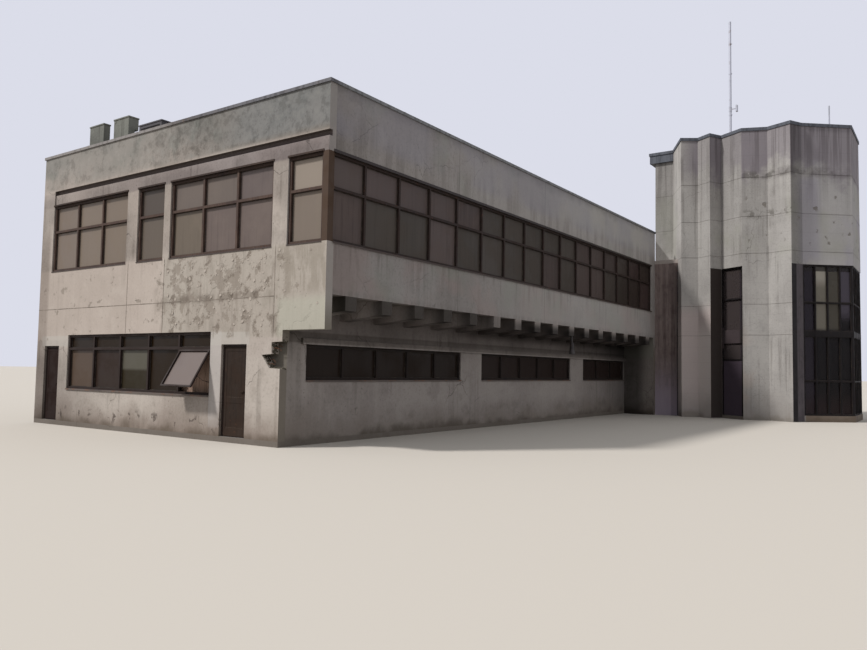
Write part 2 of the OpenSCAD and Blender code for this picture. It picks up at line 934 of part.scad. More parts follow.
// Fascia around the neck under the coping, as deep as box eaves behind it
module tower_eaves_fascia() {
    arm_x = neck_inset - fascia_t;
    half = [
        [arm_x, shoulder_y(arm_x)],
        [neck_inset, -shoulder_gap],
        [neck_inset, neck_back],
        [tower_w / 2, neck_back],
        [tower_w / 2, neck_back + eaves_d],
        [arm_x, neck_back + eaves_d]
    ];
    color("gray") at_site()
        translate([tower_x, 0, tower_wall_top - fascia_h])
            linear_extrude(fascia_h) {
                polygon(half);
                translate([tower_w, 0]) mirror([1, 0]) polygon(half);
            }
}

// Tower glazing

// Equal lights along an edge of the plan, between the mitres of its frame
function edge_span(i, outer, inner) = [
    max(edge_start(i, outer), edge_start(i, inner)), min(edge_end(i, outer), edge_end(i, inner))
];
function curtain_lines(i) =
    grid(edge_span(i, curtain_reveal, curtain_back), i == front_corner ? front_lights : side_lights);
curtain_rail_z = ground_top + curtain_rail_h;
curtain_transom_z = floor_top + curtain_transom_h;
curtain_rows = [
    [plinth_h + bar_w, curtain_rail_z - bar_w / 2],
    [curtain_rail_z + bar_w / 2, floor_z - glass_lap],
    [floor_top + glass_lap, curtain_transom_z - bar_w / 2],
    [curtain_transom_z + bar_w / 2, tower_head_z - bar_w]
];

module curtain_plinth() {
    color("silver") at_site()
        linear_extrude(plinth_h)
            wall_band(last_return, opposite(last_return), 0, tower_wall_t);
}

module curtain_frame() {
    color("darkslategray") at_site()
        difference() {
            translate([0, 0, plinth_h])
                linear_extrude(tower_head_z - plinth_h)
                    wall_band(
                        last_return, opposite(last_return), curtain_reveal, curtain_back, seat_play
                    );
            for (i = curtain_edges)
                along_edge(i)
                    plate(curtain_reveal - cut, curtain_back + cut)
                        for (x = lights(curtain_lines(i)), z = curtain_rows) rectangle(x, z);
        }
}

module curtain_glass() {
    color("slategray") at_site()
        for (i = curtain_edges)
            along_edge(i)
                plate(curtain_back + seat_play, curtain_back + seat_play + glass_t)
                    for (x = lights(curtain_lines(i)), z = curtain_rows)
                        rectangle(widened(x, glass_lap), widened(z, glass_lap));
}

// Clear width between the jambs of a recess screen
function screen_opening(i) = widened(edge_span(i, screen_reveal, screen_back), -bar_w);
screen_upper_rows = lights([floor_top, floor_top + screen_transom_h, tower_head_z]);
screen_transom_light = [recess_door_z + bar_w, screen_light_z];
screen_fixed_light = [ground_top + bar_w, recess_door_z];
recess_leaf_span = widened(screen_opening(recess_edges[0]), -leaf_gap);
function screen_rows(has_door) = concat(
    has_door ? [] : [screen_fixed_light], [screen_transom_light], screen_upper_rows
);

module recess_screen(i, has_door) {
    difference() {
        translate([0, 0, ground_top])
            linear_extrude(tower_head_z - ground_top)
                wall_band(i, i + 1, screen_reveal, screen_back, seat_play);
        along_edge(i)
            plate(screen_reveal - cut, screen_back + cut) {
                for (z = screen_rows(has_door)) rectangle(screen_opening(i), z);
                if (has_door) rectangle(screen_opening(i), [ground_top - cut, recess_door_z]);
            }
    }
    if (has_door) along_edge(i) jamb_hinges(recess_leaf_span, screen_back);
}

module recess_panes(i, has_door) {
    along_edge(i)
        plate(screen_back + seat_play, screen_back + seat_play + glass_t)
            for (z = screen_rows(has_door))
                rectangle(widened(screen_opening(i), glass_lap), widened(z, glass_lap));
}

module recess_screens() {
    color("black") at_site() {
        recess_screen(recess_edges[0], true);
        recess_screen(recess_edges[1], false);
    }
}

module recess_glass() {
    color("slategray") at_site() {
        recess_panes(recess_edges[0], true);
        recess_panes(recess_edges[1], false);
    }
}

module recess_door() {
    color("sienna") at_site()
        along_edge(recess_edges[0])
            door_leaf(recess_leaf_span, recess_door_z - leaf_gap, screen_back);
}

// Masts

module roof_masts() {
    color("lightgray") at_site()
        translate([tower_x + tower_w / 2, 0, tower_roof_top]) {
            translate([0, mast_y, 0]) {
                mast(mast_d, mast_h);
                translate([0, 0, antenna_z]) antenna();
            }
            translate([0, aerial_y, 0]) mast(aerial_d, aerial_h);
        }
}

// Tube on a square foot plate
module mast(d, h) {
    foot_w = 3 * d;
    translate([-foot_w / 2, -foot_w / 2, 0]) cube([foot_w, foot_w, foot_t]);
    cylinder(d = d, h = h);
}

// Small panel antenna on an arm that starts in the middle of the tube
module antenna() {
    translate([-arm_w / 2, -antenna_reach, -arm_w / 2]) cube([arm_w, antenna_reach, arm_w]);
    translate([-antenna_w / 2, -antenna_reach - antenna_t, -antenna_h / 2])
        cube([antenna_w, antenna_t, antenna_h]);
}

// Link

// Brown panel that closes the gap between the long wall and the tower's shoulder
module link_panel() {
    panel_back = tower_lap + link_panel_t;
    color("rosybrown") at_site()
        linear_extrude(link_h)
            polygon([
                [block_len, link_front_y],
                [block_len + link_panel_t, shoulder_y(panel_back)],
                [block_len + link_panel_t, link_back_y],
                [block_len, link_back_y]
            ]);
}

// Roof and rear wall of the link
module link_shell() {
    color("gray") at_site() {
        translate([0, 0, link_h])
            linear_extrude(link_roof_t)
                polygon([
                    [block_len, neck_back],
                    [block_len, link_front_y],
                    [neck_x, -shoulder_gap],
                    [neck_x, neck_back]
                ]);
        box([block_len, link_back_y, 0], [neck_x, neck_back, link_h]);
    }
}

ground_slab();
first_floor_slab();
roof_slab();
cantilever_ribs();
end_pier_left();
end_pier_right();
end_wall_middle();
door_lintels();
end_spandrel();
end_window_piers();
end_parapet();
long_spandrel();
long_parapet();
long_wall_ground();
corner_column();
party_wall();
far_end_wall();
block_coping();
long_window_frames();
long_window_glass();
long_strip_frames();
long_strip_glass();
end_window_frames();
end_window_glass();
far_window_frames();
far_window_glass();
end_door_frames();
end_door_left();
end_door_right();
roof_vents();
tower_floors();
tower_fin_a();
tower_fin_b();
tower_far_wall();
tower_upper_walls();
tower_coping();
tower_eaves_fascia();
curtain_plinth();
curtain_frame();
curtain_glass();
recess_screens();
recess_glass();
recess_door();
roof_masts();
link_panel();
link_shell();
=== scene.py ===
"""Factory office building: finishes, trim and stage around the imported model."""

import math
import random
from functools import reduce
from itertools import product

import bmesh
import bpy
from bpy.props import FloatProperty, FloatVectorProperty, IntProperty, PointerProperty
from mathutils import Matrix, Vector


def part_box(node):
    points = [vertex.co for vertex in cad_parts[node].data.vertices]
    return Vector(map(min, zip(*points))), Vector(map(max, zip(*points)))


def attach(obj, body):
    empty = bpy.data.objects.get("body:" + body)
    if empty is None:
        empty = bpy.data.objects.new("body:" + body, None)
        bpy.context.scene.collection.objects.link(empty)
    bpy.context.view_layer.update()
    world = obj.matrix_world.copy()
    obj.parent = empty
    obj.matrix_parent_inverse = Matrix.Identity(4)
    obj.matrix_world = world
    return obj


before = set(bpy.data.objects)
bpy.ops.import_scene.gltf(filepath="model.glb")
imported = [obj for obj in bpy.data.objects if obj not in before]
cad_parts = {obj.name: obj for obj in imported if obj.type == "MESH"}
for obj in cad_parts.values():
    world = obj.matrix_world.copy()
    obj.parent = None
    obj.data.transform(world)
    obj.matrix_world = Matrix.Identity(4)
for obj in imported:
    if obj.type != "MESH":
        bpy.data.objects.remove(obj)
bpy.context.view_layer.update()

bl_info = {
    "name": "Factory Office Building",
    "version": (1, 0, 0),
    "blender": (4, 5, 0),
    "location": "3D View > Sidebar > Building",
    "description": "Finishes, trim and stage of a concrete office building with a pleated tower",
    "category": "Object",
}

# The block's front corner, where the end wall and the long wall would meet
CORNER = Vector((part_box("end_spandrel")[0].x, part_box("long_spandrel")[0].y, 0))

# Levels of the block
GROUND = 0.12
SILL = 4.22
TRANSOM = 5.34
HEAD = 6.07
ROOF = 6.62
PARAPET = 7.48
COPING = 7.55

# Levels of the tower: its roof, and the joints between its pours
TOWER_ROOF = 10.65
UPPER_POURS = [6.3, 7.72, 9.22]
POURS = [3.19, 4.36, *UPPER_POURS]

BLOCK_END = 19.64
BLOCK_REAR = 11.06
TOWER_MIDDLE = 22.0

# The tall mast and the short one on the tower: place, radius and top
MASTS = [(-2.47, 0.05, 16.8), (-6.22, 0.03, 12.4)]

# Joints of the end wall: the upright ones from the front corner, and the level one
END_JOINTS = [1.47, 5.31, 6.81]
LEVEL_JOINT = 3.16

# Depths from the face of a wall: panes of the block, panes and bars of the curtain wall, door leaves
PANE = -0.1
CURTAIN_PANE = -0.05
CURTAIN_BAR = -0.02
DOOR_FACE = -0.075
DOOR_BACK = -0.12

# How far a thin piece reaches into what it sits on
BITE = 0.001

# Two opposite corners of the roof inside the block's parapet
ROOF_WELL = (0.2, 0.2), (BLOCK_END - 0.2, BLOCK_REAR - 0.2)

# Plan of the tower's near half, from the neck to the front
HALF_PLAN = [
    (20.6, 0.3), (20.6, -0.45), (19.0, -1.28), (19.35, -1.84), (19.0, -2.4), (19.53, -2.69),
    (19.0, -3.58), (19.35, -4.44), (19.0, -5.3), (19.53, -5.59), (20.8, -7.1),
]
PLAN = HALF_PLAN + [(2 * TOWER_MIDDLE - x, y) for x, y in reversed(HALF_PLAN)]


def tone(eye):
    """A colour given up to 255, as linear light; a linear colour stays as it is."""
    return tuple(eye) if max(eye) <= 1 else tuple(((value / 255 + 0.055) / 1.055) ** 2.4 for value in eye)


def length(label, note, metres):
    return FloatProperty(name=label, description=note, default=metres, min=0.0005, unit="LENGTH")


def colour(label, note, *eye):
    return FloatVectorProperty(
        name=label, description=note, default=tone(eye), min=0, max=1, subtype="COLOR", size=3
    )


class BuildingSizes(bpy.types.PropertyGroup):
    """Sizes of the trim."""

    seal_w: length("Seal width", "Width of the seal around each pane", 0.014)
    seal_d: length("Seal depth", "How far a seal stands in front of its pane", 0.012)
    sill_lip: length("Sill lip", "How far a sill sheet stands out from the wall", 0.028)
    sill_t: length("Sill sheet", "Thickness of the folded sill sheet", 0.004)
    felt_w: length("Felt width", "Width of one sheet of roofing felt", 1.0)
    felt_lap: length("Felt lap", "Overlap between two sheets of felt", 0.08)
    felt_t: length("Felt thickness", "Thickness of the roofing felt", 0.005)
    upstand_h: length("Felt upstand", "Height of the felt turned up the parapet", 0.15)
    cap_w: length("Curtain cap width", "Width of the caps over the curtain wall's bars", 0.044)
    cap_t: length("Curtain cap depth", "Thickness of the caps over the curtain wall's bars", 0.012)
    saddle_w: length("Coping cover width", "Width of the covers over the coping's joints", 0.07)
    saddle_pitch: length("Coping cover spacing", "Distance between the coping's joints", 2.4)
    joint_w: length("Joint bead width", "Width of the filler bead in a wall joint", 0.016)
    ridge_w: length("Pour ridge width", "Width of the thin ridge between two pours of the tower", 0.014)
    ridge_d: length("Pour ridge depth", "How far a pour ridge stands out", 0.004)
    flakes: IntProperty(name="Paint flakes", description="Loose flakes on the end wall", default=130, min=1)
    rubble: IntProperty(name="Rubble", description="Lumps on the broken pier", default=150, min=1)


class BuildingColours(bpy.types.PropertyGroup):
    """Colours of the finishes, as they look in plain daylight."""

    end_wall: colour("End wall", "Old paint on the end wall", 175, 164, 156)
    end_bare: colour("Bare render", "Render where the end wall's paint came off", 150, 141, 132)
    long_wall: colour("Long wall", "Upper wall of the long side", 160, 154, 151)
    base_wall: colour("Lower wall", "Recessed lower wall, ribs and column", 158, 150, 146)
    tower: colour("Tower", "Cast concrete of the tower", 167, 163, 160)
    tower_top: colour("Tower top band", "Brown and violet stain of the tower's top", 128, 121, 128)
    floors: colour("Floors", "Cast floors", 132, 126, 120)
    felt: colour("Roofing felt", "Weathered roofing felt", 92, 90, 88)
    frames: colour("Window frames", "Brown paint of the window frames", 76, 60, 53)
    curtain: colour("Curtain wall bars", "Dark metal of the curtain wall", 27, 23, 24)
    doors: colour("Doors", "Dark brown paint of the doors", 46, 35, 28)
    end_glass: colour("End wall panes", "Dusty panes of the end wall", 108, 97, 89)
    long_glass: colour("Long side panes", "Panes of the long ribbon window", 86, 75, 72)
    strip_glass: colour("Strip panes", "Panes of the ground floor strips", 43, 35, 31)
    curtain_glass: colour("Curtain panes", "Tinted panes of the curtain wall", 24, 20, 22)
    link: colour("Link panel", "Brown sheet between block and tower", 134, 119, 115)
    render: colour("Stack render", "Grey render of the roof stacks", 122, 123, 117)
    galvanised: colour("Galvanised steel", "Masts and small steel", 196, 198, 210)
    sky: colour("Backdrop", "Pale backdrop behind the building", 219, 221, 233)
    ground: colour("Floor", "Pale studio floor", 196, 190, 182)


class BuildingLight(bpy.types.PropertyGroup):
    """Lamp, sky and camera."""

    sun: FloatProperty(name="Lamp", description="Strength of the large lamp", default=2.95, min=0)
    sun_spread: FloatProperty(
        name="Lamp spread", description="Softness of the lamp", default=math.radians(6), subtype="ANGLE"
    )
    sky: FloatProperty(name="Sky fill", description="Strength of the even fill", default=0.6, min=0)
    lens: FloatProperty(name="Lens", description="Focal length of the camera in mm", default=31.23, min=1)


def site(x, y, z=0.0):
    """A place measured from the block's front corner."""
    return CORNER + Vector((x, y, z))


def facade(x, y, along, out):
    """A wall's own axes: first along it, second out of it, third up."""
    axes = Matrix((along, out, (0, 0, 1))).transposed()
    return Matrix.Translation(site(x, y)) @ axes.to_4x4()


END = facade(0, 0, (0, 1, 0), (-1, 0, 0))
LONG = facade(0, 0, (1, 0, 0), (0, -1, 0))
LOWER = facade(0, 1.24, (1, 0, 0), (0, -1, 0))
FAR = facade(BLOCK_END, 0, (0, 1, 0), (1, 0, 0))
LEVEL = Matrix.Translation(CORNER)


def pleat_ends(index):
    """Both ends of one face of the tower's plan."""
    return Vector(PLAN[index]), Vector(PLAN[(index + 1) % len(PLAN)])


def pleat(index):
    """The axes of one face of the tower."""
    start, end = pleat_ends(index)
    along = (end - start).normalized()
    return facade(*start, (*along, 0), (along.y, -along.x, 0))


def inset_corner(index, depth):
    """A corner of the tower's plan, moved in by the depth along its mitre."""
    outs = []
    for face in (index - 1, index):
        start, end = pleat_ends(face)
        along = (end - start).normalized()
        outs.append(Vector((along.y, -along.x)))
    return Vector(PLAN[index]) - (outs[0] + outs[1]) * depth / (1 + outs[0].dot(outs[1]))


def pleat_span(index, near, far):
    """The stretch of a tower face that lies between its mitres at both depths."""
    start, end = pleat_ends(index)
    along = (end - start).normalized()
    following = (index + 1) % len(PLAN)
    low = max((inset_corner(index, depth) - start).dot(along) for depth in (near, far))
    high = min((inset_corner(following, depth) - start).dot(along) for depth in (near, far))
    return low, high


def equal_lines(start, end, count):
    """Evenly spaced lines from start to end."""
    return [start + (end - start) * step / count for step in range(count + 1)]


def lights(lines, bar=0.06):
    """Clear widths between bars: a whole bar at both ends and half a bar beside each inner line."""
    spans = [(low + bar / 2, high - bar / 2) for low, high in zip(lines, lines[1:])]
    spans[0] = (lines[0] + bar, spans[0][1])
    spans[-1] = (spans[-1][0], lines[-1] - bar)
    return spans


def window_lights(windows, pitch):
    """The lights of several windows, each divided into about the pitch."""
    found = []
    for low, high in windows:
        found += lights(equal_lines(low, high, round((high - low) / pitch)))
    return found


def curtain_lines(face, count):
    """Middles of the curtain wall's uprights on one face of the tower."""
    return equal_lines(*pleat_span(face, 0.02, 0.08), count)


def local_box(node, place):
    """A CAD node's box along the axes of a wall."""
    back = place.inverted()
    points = [back @ vertex.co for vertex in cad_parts[node].data.vertices]
    return [Vector([pick(point[axis] for point in points) for axis in range(3)]) for pick in (min, max)]


def box(bm, low, high, place=LEVEL):
    """Adds a box between two corners."""
    low = Vector(low)
    high = Vector(high)
    size = [abs(value) for value in high - low]
    matrix = place @ Matrix.Translation((low + high) / 2) @ Matrix.Diagonal((*size, 1))
    bmesh.ops.create_cube(bm, size=1, matrix=matrix)


def tube(bm, start, end, radius, tip=None, sides=24, place=LEVEL):
    """Adds a round bar or a cone between two places."""
    start = place @ Vector(start)
    end = place @ Vector(end)
    run = end - start
    matrix = Matrix.Translation((start + end) / 2) @ run.to_track_quat("Z", "Y").to_matrix().to_4x4()
    bmesh.ops.create_cone(
        bm,
        cap_ends=True,
        segments=sides,
        radius1=radius,
        radius2=radius if tip is None else tip,
        depth=run.length,
        matrix=matrix,
    )


def flat_bar(bm, start, end, width, thick, place, up):
    """Adds a rectangular bar between two places, its thickness towards up."""
    start = place @ Vector(start)
    end = place @ Vector(end)
    run = (end - start).normalized()
    side = run.cross(place.to_3x3() @ Vector(up)).normalized()
    axes = Matrix((run, side, run.cross(side))).transposed().to_4x4()
    size = Matrix.Diagonal(((end - start).length, width, thick, 1))
    bmesh.ops.create_cube(bm, size=1, matrix=Matrix.Translation((start + end) / 2) @ axes @ size)


def rod(bm, points, radius, sides=8, place=LEVEL):
    """Adds a bent round bar: a circle extruded from point to point."""
    points = [place @ Vector(point) for point in points]
    turn = (points[1] - points[0]).to_track_quat("Z", "Y")
    matrix = Matrix.Translation(points[0]) @ turn.to_matrix().to_4x4()
    ring = bmesh.ops.create_circle(bm, cap_ends=True, segments=sides, radius=radius, matrix=matrix)["verts"]
    edges = list({edge for vert in ring for edge in vert.link_edges})
    for index in range(1, len(points)):
        grown = bmesh.ops.extrude_edge_only(bm, edges=edges)["geom"]
        verts = [item for item in grown if isinstance(item, bmesh.types.BMVert)]
        edges = [item for item in grown if isinstance(item, bmesh.types.BMEdge)]
        bmesh.ops.translate(bm, vec=points[index] - points[index - 1], verts=verts)
        after = points[min(index + 1, len(points) - 1)] - points[index - 1]
        next_turn = after.to_track_quat("Z", "Y")
        matrix = (next_turn @ turn.inverted()).to_matrix()
        bmesh.ops.rotate(bm, cent=points[index], matrix=matrix, verts=verts)
        turn = next_turn
    bmesh.ops.contextual_create(bm, geom=edges)


def thicken(bm, faces, offset):
    """Grows flat faces into a sheet and gives the raised corners."""
    grown = bmesh.ops.extrude_face_region(bm, geom=faces)["geom"]
    raised = [item for item in grown if isinstance(item, bmesh.types.BMVert)]
    bmesh.ops.translate(bm, vec=(0, 0, offset), verts=raised)
    return raised


def rim(bm, place, span, rise, width, depth):
    """Adds four strips just inside the edge of an opening."""
    low, high = span
    bottom, top = rise
    near, far = depth
    box(bm, (low, near, bottom), (low + width, far, top), place)
    box(bm, (high - width, near, bottom), (high, far, top), place)
    box(bm, (low + width, near, bottom), (high - width, far, bottom + width), place)
    box(bm, (low + width, near, top - width), (high - width, far, top), place)


def set_piece(name, bm, finish_name, body="building", soften=0.0):
    """Makes a piece of the mesh, gives it its finish and sets it on its body."""
    if soften:
        edges = [edge for edge in bm.edges if len(edge.link_faces) == 2 and edge.calc_face_angle() > 0.6]
        bmesh.ops.bevel(
            bm, geom=edges, offset=soften, segments=1, profile=0.5, affect="EDGES", material=-1,
            clamp_overlap=True,
        )
    bmesh.ops.recalc_face_normals(bm, faces=bm.faces)
    mesh = bpy.data.meshes.new(name)
    bm.to_mesh(mesh)
    bm.free()
    mesh.materials.append(material(finish_name))
    piece = bpy.data.objects.new(name, mesh)
    bpy.context.scene.collection.objects.link(piece)
    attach(piece, body)


BLACK = (0, 0, 0)


class Nodes:
    """Adds shader nodes to a tree and links them."""

    def __init__(self, tree):
        self.tree = tree

    def feed(self, socket, value):
        if isinstance(value, bpy.types.NodeSocket):
            self.tree.links.new(value, socket)
        else:
            socket.default_value = value

    def add(self, kind, inputs=(), **settings):
        """Makes a node, feeds its inputs by name or number and gives its outputs."""
        node = self.tree.nodes.new("ShaderNode" + kind)
        for key, value in settings.items():
            setattr(node, key, value)
        for key, value in dict(inputs).items():
            self.feed(node.inputs[key], value)
        return node.outputs

    def math(self, operation, *values):
        return self.add("Math", enumerate(values), operation=operation)[0]

    def mix(self, mask, first, second, blend="MIX"):
        """The first colour where the mask is 0 and the second, or their blend, where it is 1."""
        return self.add("Mix", {0: mask, 6: first, 7: second}, data_type="RGBA", blend_type=blend)[2]

    def seen(self):
        """1 for rays that show the stage itself: from the camera, in gloss and through glass."""
        path = self.add("LightPath")
        direct = self.math("MAXIMUM", path["Is Camera Ray"], path["Is Glossy Ray"])
        return self.math("MAXIMUM", direct, path["Is Transmission Ray"])


class Finish(Nodes):
    """A finish in the making. Patterns are read in metres from the block's front corner.

    A mask is kept to spans of x, y, z or of how far the surface faces along one of them. A span of
    two numbers rises from 0 at the first to 1 at the second. Three are the edges of a band and its
    softness. Four rise between the first two and fall between the last two.
    """

    def __init__(self, name, base, roughness=0.85, specular=0.3, metallic=0.0):
        self.material = bpy.data.materials.new(name + "_finish")
        self.material.use_nodes = True
        super().__init__(self.material.node_tree)
        self.shader = self.tree.nodes["Principled BSDF"]
        self.shader.inputs["Metallic"].default_value = metallic
        self.shader.inputs["Specular IOR Level"].default_value = specular
        coordinates = self.add("TexCoord")["Object"]
        self.place = self.add("Mapping", {"Vector": coordinates, "Location": tuple(-CORNER)})[0]
        self.x, self.y, self.z = self.add("SeparateXYZ", {0: self.place})
        normal = self.add("NewGeometry")["Normal"]
        self.face_x, self.face_y, self.face_z = self.add("SeparateXYZ", {0: normal})
        self.palette = bpy.context.scene.building_colours
        self.base = tone(getattr(self.palette, base) if isinstance(base, str) else base)
        self.colour = (*self.base, 1)
        self.roughness = roughness
        self.heights = []

    def fold(self, operation, values):
        """All of the values worked together, two at a time."""
        return reduce(lambda first, second: self.math(operation, first, second), values)

    def moved(self, value, pattern, amount):
        """The value plus the pattern times the amount."""
        return self.math("MULTIPLY_ADD", pattern, amount, value)

    def rise(self, value, low, high):
        """0 at low and 1 at high, softly; low may be the larger."""
        inputs = {"Value": value, "From Min": low, "From Max": high}
        return self.add("MapRange", inputs, interpolation_type="SMOOTHSTEP")[0]

    def where(self, *masks, **spans):
        """All of the masks together, kept to the spans."""
        masks = list(masks)
        for name, edges in spans.items():
            if len(edges) == 3:
                low, high, soft = edges
                edges = (low - soft, low + soft, high - soft, high + soft)
            value = getattr(self, name)
            masks.append(self.rise(value, *edges[:2]))
            if len(edges) == 4:
                masks.append(self.rise(value, edges[3], edges[2]))
        return self.fold("MULTIPLY", masks)

    def either(self, *masks):
        return self.fold("MAXIMUM", masks)

    def lines(self, value, places, half, soft):
        """Thin lines where the value passes each of the places."""
        gaps = [self.math("ABSOLUTE", self.math("SUBTRACT", value, at)) for at in places]
        return self.either(*[self.rise(gap, half + soft, half) for gap in gaps])

    def noise(self, scale, shift=0.0, detail=4.0, roughness=0.55, stretch=(1, 1, 1), warp=0.0):
        """Cloudy pattern around 0.5, with scale lumps to a metre."""
        offset = (shift, shift * 1.7, shift * 2.3)
        place = self.add("Mapping", {"Vector": self.place, "Location": offset, "Scale": stretch})[0]
        inputs = {"Scale": scale, "Detail": detail, "Roughness": roughness, "Distortion": warp}
        return self.add("TexNoise", {"Vector": place, **inputs})["Fac"]

    def patch(self, low, high, *pattern, **more):
        """1 where a noise pattern is past high, 0 where it is short of low."""
        return self.rise(self.noise(*pattern, **more), low, high)

    def cells(self, scale, shift=0.0, feature="F1", source=None):
        """Distance to the nearest of scattered points, or to the edge between two of them."""
        place = self.add("Mapping", {"Vector": source or self.place, "Location": (shift, shift, shift)})[0]
        return self.add("TexVoronoi", {"Vector": place, "Scale": scale}, feature=feature)["Distance"]

    def chance(self, *parts):
        """One fixed random number for each whole combination of the parts."""
        steps = [self.math("FLOOR", part) for part in parts]
        return self.add("TexWhiteNoise", {"Vector": self.add("CombineXYZ", enumerate(steps))[0]})["Value"]

    def paint(self, over, strength, *masks, **spans):
        """Lays a colour over the finish where the masks and spans say."""
        mask = self.math("MULTIPLY", self.where(*masks, **spans), strength)
        self.colour = self.mix(mask, self.colour, (*tone(over), 1))

    def shade(self, tint, strength, *masks, **spans):
        """Darkens the finish towards a tint where the masks and spans say."""
        mask = self.math("MULTIPLY", self.where(*masks, **spans), strength)
        self.colour = self.mix(mask, self.colour, (*tint, 1), "MULTIPLY")

    def wear(self, mask, roughness):
        """Moves the roughness to a number where the mask is 1."""
        self.roughness = self.add("Mix", {0: mask, 2: self.roughness, 3: roughness})[0]

    def raised(self, pattern, metres):
        """Lifts the surface by the pattern times the metres."""
        self.heights.append(self.math("MULTIPLY", pattern, metres))

    def done(self):
        height = self.fold("ADD", self.heights)
        bump = self.add("Bump", {"Height": height, "Distance": 1.0, "Strength": 1.0})
        self.feed(self.shader.inputs["Normal"], bump[0])
        self.feed(self.shader.inputs["Base Color"], self.colour)
        self.feed(self.shader.inputs["Roughness"], self.roughness)
        return self.material

    def blots(self, grain, metres, *layers):
        """Patches of other colours over a fine grain."""
        for over, strength, *pattern in layers:
            self.paint(over, strength, self.patch(*pattern))
        self.raised(self.noise(*grain), metres)

    def weathered(self, pale, dark, shift, drift=0.5, mottle=0.4, runs=0.25, pocks=0.5, cracks=0.5):
        """The wear that all cast and rendered walls share, from broad drift down to sand grain."""
        broad = self.noise(0.33, shift, 3, 0.5)
        self.paint(pale, drift, self.rise(broad, 0.42, 0.62))
        self.paint(dark, drift * 0.7, self.rise(broad, 0.50, 0.34))
        cloudy = self.noise(1.7, shift + 11, 6, 0.62)
        self.paint(dark, mottle, self.rise(cloudy, 0.50, 0.66))
        self.paint(pale, mottle * 0.8, self.rise(cloudy, 0.46, 0.32))
        speckle = self.noise(17, shift + 3, 5, 0.7)
        self.shade(BLACK, 0.22, self.rise(speckle, 0.50, 0.72))
        self.paint(pale, 0.3, self.rise(speckle, 0.45, 0.28))
        streaks = self.patch(0.50, 0.66, 1.0, shift + 5, 5, 0.6, (5.5, 5.5, 0.22))
        broken = self.noise(0.8, shift + 21, 3, 0.5)
        self.shade((0.16, 0.14, 0.12), runs, streaks, self.rise(broken, 0.40, 0.60))
        self.paint(pale, runs * 0.9, self.patch(0.54, 0.70, 1.0, shift + 9, 4, 0.6, (3.1, 3.1, 0.16)))
        self.raised(self.noise(90, shift, 3, 0.6), 0.0012)
        self.raised(speckle, 0.0016)
        self.raised(cloudy, 0.004)
        pores = self.rise(self.cells(7.5, shift), 0.13, 0.08)
        hole = self.where(pores, self.patch(0.52, 0.60, 2.6, shift + 31, 3))
        self.shade((0.1, 0.09, 0.08), pocks, hole)
        self.raised(hole, -0.004 * pocks)
        wander = self.add("TexNoise", {"Vector": self.place, "Scale": 1.6, "Detail": 4.0})["Color"]
        bend = self.add("VectorMath", {"Vector": wander, "Scale": 0.6}, operation="SCALE")[0]
        bent = self.add("VectorMath", {0: self.place, 1: bend})[0]
        edge = self.cells(0.42, shift, "DISTANCE_TO_EDGE", bent)
        crack = self.where(self.rise(edge, 0.0040, 0.0012), self.rise(broken, 0.50, 0.56))
        self.shade((0.08, 0.07, 0.06), cracks, crack)
        self.raised(crack, -0.002)
        self.wear(self.rise(speckle, 0.40, 0.62), 0.95)
        return cloudy, broken

    def splash(self, over, top, strength, shift):
        """Dirt thrown up from the ground."""
        ragged = self.moved(-0.45, self.noise(1.3, shift + 50, 5, 0.6), 0.9)
        self.paint(over, strength, self.rise(self.math("ADD", self.z, ragged), top, 0.02))

    def old_paint(self, pale, dark, shift, rust=0.4):
        """Brushed paint on frames and doors, chalky in places and rusting through in spots."""
        chalk = self.noise(2.2, shift, 5, 0.6)
        self.paint(pale, 0.6, self.rise(chalk, 0.48, 0.64))
        self.paint(dark, 0.6, self.rise(chalk, 0.46, 0.34))
        brush = self.noise(22, shift + 4, 4, 0.6, (1, 1, 0.12))
        self.shade(BLACK, 0.22, self.rise(brush, 0.48, 0.64))
        spots = self.patch(0.62, 0.66, 9, shift + 8, 7, 0.7)
        self.paint((112, 70, 48), rust, spots)
        self.paint((138, 126, 114), 0.45, face_z=(0.3, 0.8))
        self.wear(self.rise(chalk, 0.42, 0.6), self.roughness + 0.2)
        self.raised(brush, 0.0006)
        self.raised(spots, 0.0008)

    def old_glass(self, shift, spread, *parts):
        """Old panes: each light has a tone of its own, under dust, runs and wiped patches."""
        lighter = [value * 1.35 + 0.012 for value in self.base]
        luck = self.chance(*parts)
        self.paint(lighter, spread, self.rise(luck, 0.45, 1.0))
        self.shade((0.25, 0.22, 0.22), spread * 0.55, self.rise(luck, 0.5, 0.0))
        dust = self.noise(1.3, shift, 5, 0.6)
        self.paint(lighter, 0.4, self.rise(dust, 0.45, 0.66))
        runs = self.noise(1.0, shift + 6, 5, 0.62, (11, 11, 0.55))
        self.paint(lighter, 0.35, self.rise(runs, 0.54, 0.70))
        self.shade(BLACK, 0.2, self.rise(runs, 0.46, 0.34))
        self.paint(lighter, 0.5, self.patch(0.60, 0.70, 46, shift, 3, 0.7))
        self.wear(self.rise(dust, 0.42, 0.62), self.roughness + 0.25)
        self.raised(self.noise(0.9, shift + 2, 2), 0.003)


FINISHES = {}


def finish(*look):
    """Keeps a function as the finish of its name. It lays its colours and wear on f, a new Finish.

    The look is the finish's base colour, then its roughness, specular and metallic values.
    """

    def keep(layers):
        FINISHES[layers.__name__] = (layers, look)
        return layers

    return keep


MADE = {}


def material(name):
    """A finish by name, made when it is first asked for."""
    if name not in MADE:
        layers, look = FINISHES[name]
        f = Finish(name, *look)
        layers(f)
        MADE[name] = f.done()
    return MADE[name]


